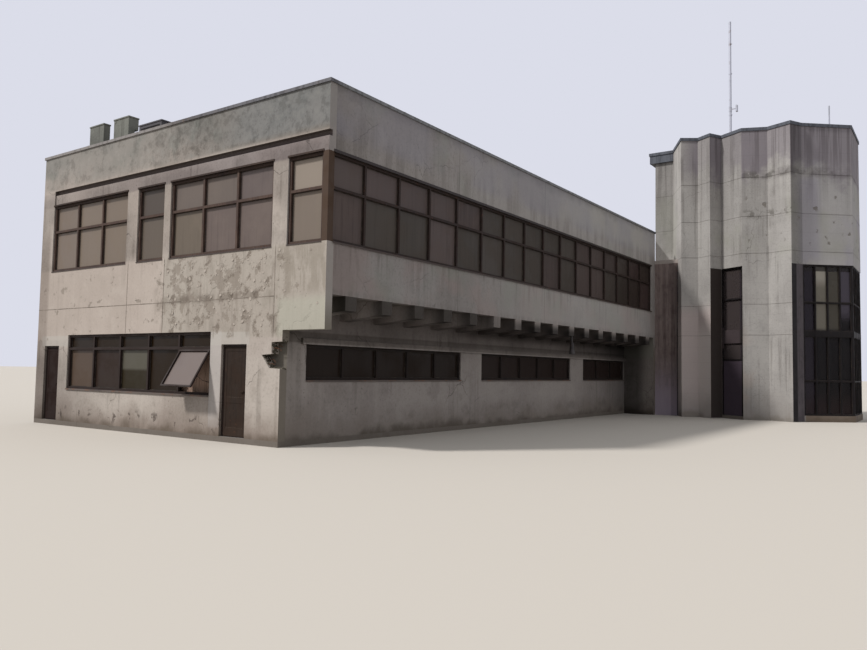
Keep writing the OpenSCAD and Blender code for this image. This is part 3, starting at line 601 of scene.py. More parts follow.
@finish("end_wall", 0.84, 0.25)
def end_concrete(f):
    cloudy, broken = f.weathered((196, 188, 179), f.palette.end_bare, 4, 0.55, 0.45, 0.3, 0.45, 0.5)
    panels = f.where(z=(2.3, 4.24, 0.05))
    heavy = f.where(panels, y=(1.05, 5.5, 0.35))
    scabs = f.noise(3.1, 71, 8, 0.62)
    sheds = f.noise(1.0, 73, 5, 0.6, (4.2, 4.2, 0.9))
    off = f.either(
        f.where(heavy, f.rise(scabs, 0.53, 0.60)),
        f.where(heavy, f.patch(0.56, 0.60, 1.9, 77, 6, 0.6)),
        f.where(panels, f.rise(scabs, 0.61, 0.65), y=(0.1, 10.9, 0.3)),
    )
    deeper = f.where(heavy, f.rise(scabs, 0.59, 0.64))
    f.paint((194, 181, 171), 0.5, panels, y=(5.315, 11.05, 0.005))
    f.paint((163, 156, 144), 0.4, panels, y=(5.32, 5.29))
    f.paint((190, 185, 182), 0.6, y=(3.12, 3.49, 0.01), z=(0.3, 2.44, 0.04))
    for over_door in ((2.2, 3.49, 0.01), (9.46, 10.8, 0.01)):
        f.paint((188, 183, 176), 0.6, y=over_door, z=(2.13, 2.42, 0.02))
    f.paint((146, 136, 126), 0.8, off)
    f.paint((124, 114, 104), 0.75, deeper)
    f.paint((140, 130, 121), 0.55, heavy, f.rise(sheds, 0.54, 0.66))
    f.raised(off, -0.003)
    f.raised(deeper, -0.003)
    # The parapet and its groove
    f.paint((128, 128, 124), 0.8, f.rise(f.moved(f.z, cloudy, 0.9), 6.95, 7.75))
    f.paint((124, 122, 118), 0.65, f.rise(f.moved(f.y, broken, 4.0), 8.5, 3.5), z=(6.5, 6.6))
    # Painted shade inside the groove under the parapet
    f.paint((84, 74, 72), 0.9, z=(6.372, 6.508, 0.004), x=(0.008, 0.02, 0.12, 0.16))
    f.paint((124, 126, 120), 0.55, f.patch(0.50, 0.62, 1.5, 15, 6, 0.6), z=(6.45, 6.8))
    f.paint((150, 144, 138), 0.7, f.rise(broken, 0.35, 0.6), z=(6.5, 6.6))
    blots = f.noise(2.8, 81, 7, 0.7)
    f.shade((0.42, 0.41, 0.4), 0.42, f.rise(blots, 0.50, 0.62), z=(6.5, 6.6))
    f.paint((164, 158, 152), 0.35, f.rise(blots, 0.45, 0.33), z=(6.5, 6.6))
    f.paint((144, 149, 152), 0.4, z=(6.55, 6.7), y=(3.8, 2.2))
    fine_blots = f.noise(4.2, 85, 7, 0.72)
    right_parapet = f.where(z=(6.52, 6.62), y=(7.5, 5.0))
    f.shade((0.45, 0.44, 0.42), 0.4, right_parapet, f.rise(fine_blots, 0.50, 0.58))
    f.paint((158, 157, 152), 0.4, right_parapet, f.rise(fine_blots, 0.48, 0.38))
    # The panels between the floors, their joints and the foot of the wall
    f.paint((182, 181, 167), 0.6, y=(-0.1, 1.35, 0.12), z=(2.3, 3.1, 0.12))
    level_joint = f.where(f.lines(f.z, [LEVEL_JOINT], 0.006, 0.008), y=(1.46, 1.48))
    joints = f.either(level_joint, f.lines(f.y, END_JOINTS, 0.005, 0.008))
    f.shade((0.2, 0.18, 0.16), 0.55, joints, panels)
    smudged = f.patch(0.42, 0.58, 2.2, 33, 5)
    f.shade((0.35, 0.31, 0.28), 0.5, f.lines(f.z, [3.2], 0.03, 0.11), smudged, y=(1.6, 5.2, 0.4))
    f.splash((126, 112, 102), 0.85, 0.78, 2)
    f.splash((98, 87, 76), 0.34, 0.85, 7)
    f.paint((72, 62, 56), 0.75, f.patch(0.59, 0.64, 3.1, 9, 7, 0.62, warp=0.6), z=(0.2, 0.52, 0.1))
    f.shade(BLACK, 0.27, z=(2.3, 1.6), y=(6.5, 10.0))
    f.shade(BLACK, 0.22, f.rise(broken, 0.35, 0.6), z=(4.3, 6.3, 0.1))
    f.shade(BLACK, 0.25, z=(6.45, 6.55), y=(6.5, 3.0))
    f.shade((0.25, 0.22, 0.3), 0.55, z=(6.0, 6.08, 6.4, 6.5), y=(16.0, 2.0))
    # Painted shade on the end wall of the recess under the overhang, deepest away from its open side
    undercut_shade = f.where(x=(15, 16), face_x=(-0.5, -0.8), z=(3.3, 3.2))
    f.shade((0.2, 0.19, 0.2), 0.65, undercut_shade)
    f.shade(BLACK, 0.6, undercut_shade, y=(0.2, 0.7))
    f.paint((150, 141, 130), 0.6, f.rise(sheds, 0.46, 0.56), y=(1.6, 1.2), z=(3.2, 4.2, 0.1))
    f.shade((0.2, 0.16, 0.14), 0.4, y=(10.5, 10.7), z=(6.0, 5.0))
    # Painted shade: faces turned to the long side take the long wall's colour, and are darker still below
    # the overhang
    side = f.where(face_y=(-0.4, -0.6), y=(1.3, 1.25))
    f.paint(f.palette.long_wall, 0.8, side)
    f.shade((0.45, 0.42, 0.34), 0.75, side, z=(3.2, 2.4))


@finish("long_wall", 0.87, 0.22)
def long_concrete(f):
    f.weathered((174, 170, 168), (142, 136, 133), 40, 0.5, 0.35, 0.22, 0.3, 0.4)
    f.paint((168, 151, 147), 0.5, f.patch(0.46, 0.62, 0.7, 61, 3), z=(4.6, 4.0))
    f.paint((148, 152, 142), 0.45, f.patch(0.50, 0.66, 0.6, 64, 3))
    f.paint((184, 180, 177), 0.35, x=(3.0, 9.0))
    f.paint((184, 182, 178), 0.5, x=(8.0, 14.0), z=(6.4, 6.7))
    f.shade((0.5, 0.48, 0.46), 0.3, x=(1.6, 0.1))
    f.shade(BLACK, 0.16, z=(4.3, 4.2), x=(12.0, 2.0))
    f.shade((0.3, 0.28, 0.26), 0.25, f.patch(0.45, 0.6, 1.0, 19, stretch=(4, 4, 0.4)), z=(6.0, 6.7, 0.25))
    f.shade((0.3, 0.29, 0.28), 0.45, f.rise(f.moved(f.z, f.noise(2.4, 2, 5), 0.5), 7.42, 7.8))
    drips = f.noise(1.0, 29, 4, 0.6, (7, 7, 0.5))
    f.shade((0.25, 0.22, 0.2), 0.25, f.rise(drips, 0.52, 0.66), z=(3.3, 4.2, 4.2, 4.25))
    f.shade((0.3, 0.27, 0.25), 0.18, f.rise(drips, 0.40, 0.55), z=(3.32, 3.18))
    f.shade((0.2, 0.18, 0.17), 0.5, f.lines(f.x, [4.8, 9.6, 14.4], 0.005, 0.007))
    f.paint((150, 148, 160), 0.4, f.patch(0.35, 0.6, 0.5, 27, 3), z=(6.3, 6.6))


@finish("base_wall", 0.9, 0.2)
def base_concrete(f):
    f.weathered((178, 170, 165), (132, 125, 120), 83, 0.5, 0.4, 0.25, 0.4, 0.5)
    # The ribs' tips, in painted shade near the corner and painted light far from it, darker towards their
    # bottom; then painted shade on the wall behind them and over the strips, deepest at the far end
    tips = f.where(y=(0.55, 0.05), z=(2.6, 2.75))
    far = f.where(tips, x=(6.0, 9.0))
    f.paint((56, 52, 48), 0.9, tips, x=(8.0, 5.5))
    f.paint((176, 166, 160), 0.6, far)
    f.shade(BLACK, 0.85, far, z=(3.24, 2.92))
    f.shade((0.25, 0.23, 0.22), 0.8, y=(0.01, 0.05), z=(2.5, 2.75), x=(5.5, 8.0))
    f.shade((0.32, 0.3, 0.29), 0.66, z=(2.3, 3.2, 0.2), y=(0.5, 1.2))
    f.shade(BLACK, 0.3, z=(2.3, 2.4), y=(0.9, 1.1), x=(12.0, 16.0))
    # Painted shade on the column behind the broken pier, along the ledge over the strips, under the ribs and
    # on the lower wall towards the tower
    f.shade((0.4, 0.4, 0.36), 0.3, x=(0.75, 0.5))
    f.shade((0.35, 0.33, 0.3), 0.6, z=(2.2, 2.44, 0.02), y=(0.9, 1.1))
    f.shade(BLACK, 0.45, face_z=(-0.3, -0.6), z=(2.4, 2.6))
    f.shade(BLACK, 0.6, x=(15.6, 19.2), y=(0.9, 1.1))
    f.shade((0.3, 0.3, 0.25), 0.75, x=(0.7, 0.6), face_x=(-0.5, -0.8))
    f.paint((180, 172, 167), 0.18, x=(4.0, 9.0), z=(0.5, 2.2, 0.3))
    f.splash((128, 118, 110), 1.0, 0.7, 12)
    f.splash((92, 84, 76), 0.35, 0.8, 17)
    f.shade((0.2, 0.18, 0.16), 0.2, f.patch(0.56, 0.66, 1.1, 91, 5), z=(0.4, 0.75, 0.1))


@finish("tower", 0.86, 0.25)
def tower_concrete(f):
    f.weathered((184, 181, 177), (149, 146, 143), 17, 0.5, 0.35, 0.35, 0.35, 0.35)
    f.paint((180, 164, 155), 0.5, f.patch(0.50, 0.66, 0.5, 44, 3), z=(5.5, 1.0))
    f.paint((184, 182, 184), 0.45, y=(-5.5, -6.2))
    f.paint((156, 156, 144), 0.4, f.patch(0.50, 0.64, 0.45, 49, 3), z=(6.2, 9.2, 0.3))
    f.paint((160, 156, 168), 0.6, f.patch(0.50, 0.64, 0.6, 52), y=(-5.4, -5.8))
    # The stained top band, stronger on the faces turned from the street
    lee_side = f.where(face_y=(0.1, -0.25))
    stained = f.either(lee_side, f.moved(0.35, f.where(y=(-2.4, -4.4)), 0.42))
    ragged = f.moved(f.z, f.noise(0.7, 57, 6, 0.65), 3.4)
    top_band = f.rise(f.moved(ragged, lee_side, 0.5), 11.0, 11.9)
    f.paint(f.palette.tower_top, 0.85, top_band, stained, y=(-1.0, -1.9))
    f.paint((150, 145, 150), 0.45, top_band, y=(-5.4, -5.8))
    hems = f.where(f.lines(f.z, [9.3], 0.03, 0.25), f.patch(0.47, 0.6, 1.1, 59, 5, 0.6), y=(-4.0, -5.0))
    f.paint((104, 98, 100), 0.6, hems, stained)
    f.paint((160, 155, 170), 0.5, y=(-6.1, -5.5, 0.15), z=(6.0, 9.1, 0.2))
    smears = f.where(f.lines(f.z, [7.8, 9.3], 0.05, 0.16), f.patch(0.47, 0.56, 2.6, 68, 4, 0.6))
    f.shade((0.3, 0.29, 0.26), 0.6, smears, y=(-5.2, -3.6, 0.1))
    # The lower fin's mauve tone, lightened as painted light in the block's cast shadow, most on the faces
    # turned towards the lamp
    lifted_shadow = f.where(z=(4.6, 3.9), y=(-2.9, -2.6))
    f.paint((192, 177, 174), 0.7, lifted_shadow)
    f.paint((214, 205, 200), 0.8, lifted_shadow, face_y=(0.3, 0.5), z=(4.0, 3.0))
    # Painted shadow of the block on the tower beside it, and painted shade on single folds
    slant = f.math("SUBTRACT", f.z, f.moved(6.93, f.y, 1.4))
    f.shade((0.25, 0.23, 0.23), 0.6, f.rise(slant, 0.06, -0.06), y=(-0.52, -0.42), z=(6.0, 6.1))
    f.shade(BLACK, 0.28, y=(-0.6, -0.4), z=(6.2, 7.4))
    f.shade(BLACK, 0.13, y=(-3.65, -1.75, 0.03), face_y=(0.2, 0.4), z=(4.4, 5.0))
    f.shade(BLACK, 0.35, y=(-5.62, -5.28, 0.02), x=(19.0, 19.06), face_y=(-0.6, -0.8))
    f.shade((0.3, 0.27, 0.27), 0.45, f.patch(0.49, 0.6, 1.0, 35, 5, 0.6, (6, 6, 0.18)), z=(7.2, 11.0))
    holes = f.rise(f.moved(f.cells(2.1, 63), f.noise(5.5, 86, 5, 0.65), 0.9), 0.67, 0.57)
    pits = f.where(holes, f.patch(0.40, 0.48, 1.2, 12, 3), z=(6.4, 8.5, 0.2), y=(-3.6, -3.8))
    f.paint((110, 104, 97), 0.75, pits)
    f.raised(pits, -0.006)
    # Joints between the pours, and the marks of the boards
    pours = f.lines(f.z, POURS, 0.006, 0.01)
    f.shade((0.25, 0.22, 0.2), 0.42, pours)
    f.raised(pours, -0.003)
    f.shade(BLACK, 0.16, f.lines(f.math("FRACT", f.math("DIVIDE", f.z, 0.61)), [0.5], 0.003, 0.006))
    f.splash((140, 134, 130), 1.3, 0.6, 22)
    f.splash((122, 115, 106), 0.3, 0.6, 28)
    f.shade((0.6, 0.5, 0.4), 0.9, z=(0.26, 0.24), y=(-5.6, -5.65))


@finish("floors", 0.8, 0.3)
def floor_concrete(f):
    f.weathered((148, 142, 136), (108, 102, 96), 29, 0.5, 0.4, 0.0, 0.3, 0.6)
    f.wear(f.patch(0.5, 0.62, 0.8, 37, 5), 0.6)
    # Painted shade on the floors' undersides over the long side
    f.shade((0.2, 0.18, 0.17), 0.5, face_z=(-0.5, -0.8), y=(1.4, 1.2))
    f.paint((104, 95, 86), 0.7, z=(0.16, 0.11), face_z=(0.5, 0.3))


@finish((96, 92, 92), 0.6, 0.4, 0.2)
def coping_metal(f):
    layers = ((78, 74, 74), 0.7, 0.5, 0.65, 1.2, 8, 5), ((116, 100, 88), 0.5, 0.56, 0.66, 5.0, 14, 6, 0.65)
    f.blots((30, 2), 0.001, *layers)
    uneven = f.moved(f.y, f.noise(0.9, 33), 1.0)
    f.paint((146, 141, 138), 0.85, f.rise(uneven, 5.0, 6.6), x=(0.5, 0.3))
    f.paint((104, 104, 110), 0.7, f.rise(uneven, 5.4, 3.6), x=(0.5, 0.3))
    f.paint((134, 136, 138), 0.8, y=(0.5, 0.3), x=(0.1, 0.4))
    f.paint((80, 84, 94), 0.85, x=(18.7, 18.8))
    streaks = f.noise(1.0, 3, stretch=(9, 9, 1.2))
    f.shade((0.3, 0.3, 0.3), 0.35, f.rise(streaks, 0.5, 0.64))
    f.wear(f.rise(streaks, 0.4, 0.6), 0.8)


@finish("frames", 0.6, 0.2)
def window_frame(f):
    f.old_paint((96, 80, 72), (56, 42, 38), 6)
    f.paint((42, 32, 29), 0.95, z=(3.05, 3.0))
    # Painted shade on the head bars and strips under the lintel
    f.shade(BLACK, 0.4, z=(5.97, 5.99))


# Painted shade: a darker copy of the frames' brown paint for the shaded long side, with the corner post
# painted lighter
@finish((50, 39, 35), 0.6, 0.2)
def long_frame(f):
    f.old_paint((64, 51, 46), (36, 27, 24), 12)
    f.paint((78, 61, 49), 0.9, x=(0.24, 0.22))


@finish((42, 35, 32), 0.7, 0.2)
def strip_frame(f):
    f.old_paint((56, 48, 44), (30, 25, 23), 9, 0.2)
    f.paint((60, 53, 50), 0.9, y=(-1.0, -1.5))


@finish("curtain", 0.6, 0.2)
def curtain_frame(f):
    f.old_paint((36, 31, 33), (19, 16, 17), 16, 0.2)
    f.paint((67, 58, 60), 0.9, y=(-3.5, -3.4), z=(2.7, 3.5, 0.02))


@finish((90, 84, 88), 0.6, 0.2)
def return_sheet(f):
    f.old_paint((104, 98, 102), (72, 66, 70), 19, 0.15)
    # Painted shadow of the fold's ridge along the sheet's edge
    f.shade(BLACK, 0.8, y=(-5.44, -5.41))
    f.shade((0.3, 0.28, 0.3), 0.3, f.patch(0.5, 0.64, 1.0, 27, 5, stretch=(8, 8, 0.25)))


@finish("doors", 0.75, 0.2)
def door_paint(f):
    f.old_paint((54, 41, 34), (34, 25, 20), 26, 0.25)
    f.splash((68, 54, 44), 0.5, 0.4, 5)
    f.paint((28, 11, 5), 0.92, y=(9.0, 9.5))
    f.paint((77, 67, 78), 0.85, y=(-1.5, -2.0))


@finish("link", 0.65, 0.2)
def link_panel(f):
    f.old_paint((148, 134, 131), (112, 97, 95), 56, 0.15)
    runs = f.noise(1.0, 21, 5, stretch=(8, 8, 0.25))
    f.shade((0.3, 0.26, 0.25), 0.35, f.rise(runs, 0.5, 0.64))
    f.paint((154, 140, 136), 0.4, f.rise(runs, 0.45, 0.33))
    f.splash((168, 156, 172), 2.6, 0.8, 44)
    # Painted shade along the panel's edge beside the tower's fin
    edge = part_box("link_panel")[0].y - CORNER.y
    f.shade(BLACK, 0.25, y=(edge + 0.32, edge + 0.27))


@finish("end_glass", 0.3, 0.16)
def end_glass(f):
    beyond_pier = f.moved(f.y, f.where(y=(6.69, 6.71)), -0.597)
    column = f.math("DIVIDE", f.math("ADD", beyond_pier, 0.7667), 1.1833)
    row = f.where(z=(TRANSOM - 0.01, TRANSOM + 0.01))
    f.old_glass(31, 0.45, column, row, 3.0)
    tint = f.chance(column, row, 9.0)
    f.paint((116, 107, 90), 0.35, f.rise(tint, 0.5, 0.56))
    f.paint((106, 93, 94), 0.35, f.rise(tint, 0.5, 0.44))
    f.paint((130, 119, 108), 0.8, y=(1.3, 1.2), z=(4.0, 4.1))
    f.paint((104, 95, 94), 0.5, y=(1.3, 6.6, 0.02), z=(5.3, 5.4))
    f.paint((96, 87, 79), 0.6, y=(5.3, 6.6, 0.02))
    f.shade(BLACK, 0.3, y=(5.3, 6.6, 0.02), z=(5.3, 5.4))
    f.paint((130, 117, 105), 0.75, y=(6.6, 6.8), z=(3.9, 4.1))
    f.paint((150, 139, 128), 0.9, y=(1.3, 1.2), z=(TRANSOM, TRANSOM + 0.05))
    # The strip window by the doors
    strip = f.where(z=(3.05, 3.0))
    lower = f.where(strip, z=(0.9, 2.07, 0.02))
    painted = f.where(lower, y=(5.88, 7.06, 0.02))
    f.paint((34, 23, 10), 1.0, strip)
    f.paint((88, 73, 62), 0.85, lower, y=(8.25, 8.28))
    f.paint((44, 31, 24), 0.9, lower, y=(7.05, 8.26, 0.02))
    f.paint((43, 36, 20), 0.9, painted)
    f.paint((90, 87, 77), 0.9, painted, z=(1.5, 1.6))
    # Painted reflection: the open sash's pane, tilted upwards, is painted lighter
    f.paint((112, 101, 97), 0.95, strip, face_z=(0.25, 0.4))


@finish("long_glass", 0.32, 0.10)
def long_glass(f):
    column = f.math("DIVIDE", f.x, 1.2)
    row = f.where(z=(TRANSOM - 0.01, TRANSOM + 0.01))
    f.old_glass(36, 0.5, column, row, 1.0)
    f.paint((72, 70, 62), 0.55, f.rise(f.chance(column, row, 7.0), 0.5, 0.56))
    # Painted reflection: the panes grow darker towards the far end
    f.shade((0.45, 0.4, 0.4), 0.5, x=(2.0, 17.0))
    f.shade((0.5, 0.35, 0.35), 0.45, x=(15.0, 17.0))
    f.paint((104, 92, 90), 0.7, z=(TRANSOM - 0.02, TRANSOM + 0.02), x=(6.0, 1.0))


@finish("strip_glass", 0.3, 0.08)
def strip_glass(f):
    f.old_glass(41, 0.25, f.math("DIVIDE", f.math("SUBTRACT", f.x, 0.76), 1.228), 2.0, 5.0)
    f.paint((38, 28, 20), 0.6, x=(7.5, 7.3))
    f.paint((52, 41, 38), 0.5, x=(7.3, 7.5))


@finish("curtain_glass", 0.2, 0.15)
def curtain_glass(f):
    f.old_glass(46, 0.35, *[f.math("DIVIDE", *part) for part in ((f.x, 0.48), (f.y, 0.4), (f.z, 1.55))])
    # Painted light: sky seen through the tower, pale on three upper panes of the front
    first = f.where(x=(19.90, 20.21, 0.005))
    f.paint((144, 138, 126), 0.85, first, z=(3.3, 3.5))
    f.paint((196, 190, 178), 0.7, first, z=(4.9, 5.4))
    f.paint((98, 93, 84), 0.85, x=(20.22, 20.52, 0.005), z=(3.3, 3.5))
    f.paint((96, 90, 101), 0.85, x=(20.53, 20.84, 0.005), z=(3.6, 4.2))
    f.paint((54, 48, 57), 0.8, x=(19.90, 19.89))
    f.paint((52, 38, 38), 0.6, z=(1.2, 0.5))
    f.paint((44, 40, 39), 0.85, z=(5.56, 5.6))
    f.paint((68, 61, 60), 0.85, y=(-3.5, -3.4))
    f.shader.inputs["Alpha"].default_value = 0.85


@finish("render", 0.88, 0.2)
def vent_render(f):
    f.weathered((140, 141, 134), (96, 96, 92), 66, 0.5, 0.5, 0.45, 0.3, 0.4)
    f.shade((0.3, 0.29, 0.28), 0.5, z=(6.95, 6.6))
    f.paint((84, 81, 88), 0.85, y=(7.7, 7.6))


@finish("galvanised", 0.5, 0.5, 0.35)
def mast_steel(f):
    f.shade(BLACK, 0.12, f.rise(f.cells(60), 0.2, 0.7))
    layers = ((134, 118, 106), 0.6, 0.56, 0.68, 3.5, 4, 6, 0.65), ((160, 162, 170), 0.5, 0.5, 0.62, 1.1, 9)
    f.blots((40, 0, 3), 0.0005, *layers)


@finish((48, 42, 38), 0.75, 0.3)
def pane_seal(f):
    f.blots((60, 0, 3), 0.001, ((84, 74, 64), 0.6, 0.5, 0.64, 6, 3, 5))


@finish((104, 94, 88), 0.55, 0.4, 0.3)
def folded_sheet(f):
    layers = ((120, 84, 62), 0.6, 0.52, 0.62, 3, 1, 6, 0.65), ((74, 66, 62), 0.6, 0.5, 0.62, 0.9, 6, 3)
    f.blots((35, 0, 3), 0.0008, *layers)
    f.paint((66, 55, 51), 0.85, z=(4.0, 6.3, 0.05))
    # Painted shade on the strips at the long side's window heads
    f.paint((46, 39, 37), 0.9, z=(5.9, 6.3, 0.05), y=(0.1, 0.05))


@finish((140, 130, 121), 0.9, 0.2)
def joint_filler(f):
    layers = ((98, 90, 82), 0.8, 0.46, 0.6, 2.4, 3, 5), ((168, 158, 148), 0.6, 0.52, 0.62, 8, 6, 5)
    f.blots((50, 0, 3), 0.002, *layers)


@finish((178, 168, 158), 0.8, 0.25)
def loose_paint(f):
    layers = ((156, 146, 136), 0.7, 0.48, 0.6, 9, 3, 5), ((128, 118, 108), 0.6, 0.52, 0.62, 3, 6, 5)
    f.blots((70, 0, 3), 0.001, *layers)


@finish((84, 79, 69), 0.95, 0.15)
def rubble(f):
    stones = f.cells(38)
    f.paint((98, 93, 82), 0.5, f.rise(stones, 0.5, 0.2))
    f.raised(stones, -0.003)
    f.blots((60,), 0.0015, ((62, 58, 50), 0.6, 0.5, 0.6, 5, 6, 5))


@finish((92, 62, 46), 0.85, 0.3)
def rusty_steel(f):
    layers = ((58, 44, 38), 0.8, 0.48, 0.6, 12, 6, 6, 0.65), ((138, 84, 52), 0.7, 0.56, 0.66, 30, 2)
    f.blots((80,), 0.0015, *layers)


@finish((48, 44, 44), 0.55, 0.4, 0.3)
def dark_steel(f):
    layers = ((98, 70, 54), 0.6, 0.54, 0.64, 8, 6, 6, 0.65), ((82, 78, 76), 0.6, 0.5, 0.62, 2, 2)
    f.blots((60, 0, 3), 0.0008, *layers)


@finish((190, 160, 142), 0.8, 0.25)
def inner_board(f):
    wood = f.noise(3.0, 4, 6, 0.6, (9, 9, 0.5))
    f.paint((140, 114, 98), 0.7, f.rise(wood, 0.48, 0.62))
    f.paint((184, 160, 142), 0.5, f.patch(0.5, 0.62, 0.9, 8))
    # Painted shade on the boards' lower part, where the lamp shines in under the open sash
    f.shade(BLACK, 0.3, z=(1.3, 1.1))
    f.raised(wood, 0.002)


@finish("felt", 0.92, 0.2)
def roof_felt(f):
    f.paint((112, 109, 104), 0.7, f.patch(0.46, 0.62, 0.4, 5))
    f.paint((70, 68, 66), 0.7, f.patch(0.54, 0.66, 1.8, 9, 6, 0.6))
    f.paint((94, 98, 76), 0.6, f.patch(0.60, 0.68, 0.9, 15, 5))
    f.paint((120, 112, 100), 0.5, f.patch(0.62, 0.63, 0.5, 25, 2))
    grit = f.noise(140, 0, 2, 0.6)
    f.shade(BLACK, 0.3, f.rise(grit, 0.5, 0.7))
    f.raised(grit, 0.0015)


NODE_FINISHES = {
    "end_concrete": (
        "end_pier_left", "end_pier_right", "end_wall_middle", "door_lintels", "end_spandrel",
        "end_window_piers", "end_parapet", "party_wall", "far_end_wall",
    ),
    "long_concrete": ("long_spandrel", "long_parapet"),
    "base_concrete": ("cantilever_ribs", "long_wall_ground", "corner_column", "link_shell"),
    "tower_concrete": (
        "tower_fin_a", "tower_fin_b", "tower_far_wall", "tower_upper_walls", "curtain_plinth",
    ),
    "floor_concrete": ("ground_slab", "first_floor_slab", "roof_slab", "tower_floors"),
    "coping_metal": ("block_coping", "tower_coping", "tower_eaves_fascia"),
    "long_frame": ("long_window_frames",),
    "window_frame": ("end_window_frames", "far_window_frames", "end_door_frames"),
    "strip_frame": ("long_strip_frames",),
    "curtain_frame": ("curtain_frame", "recess_screens"),
    "door_paint": ("end_door_left", "end_door_right", "recess_door"),
    "end_glass": ("end_window_glass", "far_window_glass"),
    "long_glass": ("long_window_glass",),
    "strip_glass": ("long_strip_glass",),
    "curtain_glass": ("curtain_glass", "recess_glass"),
    "link_panel": ("link_panel",),
    "vent_render": ("roof_vents",),
    "mast_steel": ("roof_masts",),
}

# Lights of the windows: their spans along the wall and their rows
UPPER_ROWS = lights([SILL, TRANSOM, HEAD])
UPPER_WINDOWS = [(0.15, 1.15), (1.6, 5.15), (5.4, 6.48), (6.93, 10.48)]
END_SPANS = window_lights(UPPER_WINDOWS, 1.18)
LONG_SPANS = lights([0.15] + [1.2 * step for step in range(1, 17)])
STRIPS = [(0.76, 6.9), (8.01, 14.15), (15.26, 19.38)]
STRIP_SILL = 1.39
STRIP_ROW = (1.45, 2.11)
STRIP_SPANS = window_lights(STRIPS, 1.2)
END_STRIP = (3.49, 9.46)
END_STRIP_SILL = 1.0
END_STRIP_SPANS = lights(equal_lines(*END_STRIP, 5))
END_STRIP_ROWS = lights([END_STRIP_SILL, 2.07, 2.44])
CURTAIN_ROWS = [(0.29, 1.47), (1.53, 3.13), (3.37, 4.37), (4.43, 5.76)]

# Faces of the tower with the curtain wall and the lights across each, and all faces with glass below
CURTAIN_FACES = [(9, 4), (10, 5), (11, 4)]
GLAZED_FACES = (5, 9, 10, 11, 15)

# Bottom and top of the sheets on the tower's turned faces
SHEET_RISE = (0.02, 5.815)


class BUILDING_OT_node_finishes(bpy.types.Operator):
    """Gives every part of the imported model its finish."""

    bl_idname = "building.node_finishes"
    bl_label = "Walls, frames and panes"

    def execute(self, context):
        for finish_name, nodes in NODE_FINISHES.items():
            for name in nodes:
                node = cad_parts[name]
                if not node.material_slots:
                    node.data.materials.append(None)
                for slot in node.material_slots:
                    slot.material = material(finish_name)
        return {"FINISHED"}


class BUILDING_OT_pane_seals(bpy.types.Operator):
    """Makes the seals around every pane of the block and the tower."""

    bl_idname = "building.pane_seals"
    bl_label = "Pane seals"

    def execute(self, context):
        sizes = context.scene.building_sizes
        end_upper = list(product(END_SPANS, UPPER_ROWS))
        end_strip = list(product(END_STRIP_SPANS, END_STRIP_ROWS))
        long_upper = product(LONG_SPANS, UPPER_ROWS)
        long_strips = product(STRIP_SPANS, [STRIP_ROW])
        # The first light of the end strip stands open, without a seal. The far end has one window less.
        walls = {
            "end": ((END, end_upper), (END, end_strip[1:])),
            "far": ((FAR, end_upper[len(UPPER_ROWS):]), (FAR, end_strip)),
            "long": ((LONG, long_upper), (LOWER, long_strips)),
        }
        for name, windows in walls.items():
            bm = bmesh.new()
            for wall, panes in windows:
                for span, row in panes:
                    rim(bm, wall, span, row, sizes.seal_w, (PANE, PANE + sizes.seal_d))
            set_piece(name + "_pane_seals", bm, "pane_seal")
        bm = bmesh.new()
        for face, count in CURTAIN_FACES:
            spans = lights(curtain_lines(face, count))
            depth = (CURTAIN_PANE, CURTAIN_PANE + sizes.seal_d)
            for span, row in product(spans, CURTAIN_ROWS):
                rim(bm, pleat(face), span, row, sizes.seal_w * 0.7, depth)
        set_piece("curtain_pane_seals", bm, "pane_seal")
        return {"FINISHED"}


def clad(bm, face, thick, margins, joints):
    """Covers a turned face of the tower with a sheet and plates on it, and gives its first edge."""
    place = pleat(face)
    bottom, top = SHEET_RISE
    edge = 0.002
    gap = 0.015
    low, high = pleat_span(face, -2 * thick, 0.0)
    low += margins[0]
    high -= margins[1]
    box(bm, (low, -BITE, bottom), (high, thick, top), place)
    starts = [bottom + edge, *joints, top - edge + gap]
    for start, following in zip(starts, starts[1:]):
        box(bm, (low + edge, thick - BITE, start), (high - edge, 2 * thick, following - gap), place)
    return low


class BUILDING_OT_curtain_caps(bpy.types.Operator):
    """Makes the caps over the curtain wall's bars and the sheets on the turned faces beside the glass."""

    bl_idname = "building.curtain_caps"
    bl_label = "Curtain wall caps"

    def execute(self, context):
        sizes = context.scene.building_sizes
        half = sizes.cap_w / 2
        back = CURTAIN_BAR - 0.0005
        bm = bmesh.new()
        for face, count in CURTAIN_FACES:
            place = pleat(face)
            lines = curtain_lines(face, count)
            for at in lines[1:-1]:
                box(bm, (at - half, back, 0.25), (at + half, CURTAIN_BAR + sizes.cap_t, 5.8), place)
            for at, tall in ((1.5, sizes.cap_w), (3.25, 0.2), (4.4, sizes.cap_w)):
                for left, right in zip(lines, lines[1:]):
                    low = (left + half, back, at - tall / 2)
                    box(bm, low, (right - half, CURTAIN_BAR + sizes.cap_t * 0.7, at + tall / 2), place)
        set_piece("curtain_wall_caps", bm, "curtain_frame", soften=0.002)
        bm = bmesh.new()
        for face in (8, 12):
            low = clad(bm, face, 0.004, (0.01, 0.006), (1.5, 3.26, 4.41))
            bottom, top = SHEET_RISE
            box(bm, (low - 0.008, -BITE, bottom), (low + BITE, 0.012, top), pleat(face))
        set_piece("curtain_return_sheets", bm, "return_sheet", soften=0.002)
        bm = bmesh.new()
        for face in (4, 16):
            clad(bm, face, 0.003, (0.003, 0.003), (2.85, 4.61))
        set_piece("recess_return_sheets", bm, "strip_frame", soften=0.002)
        return {"FINISHED"}


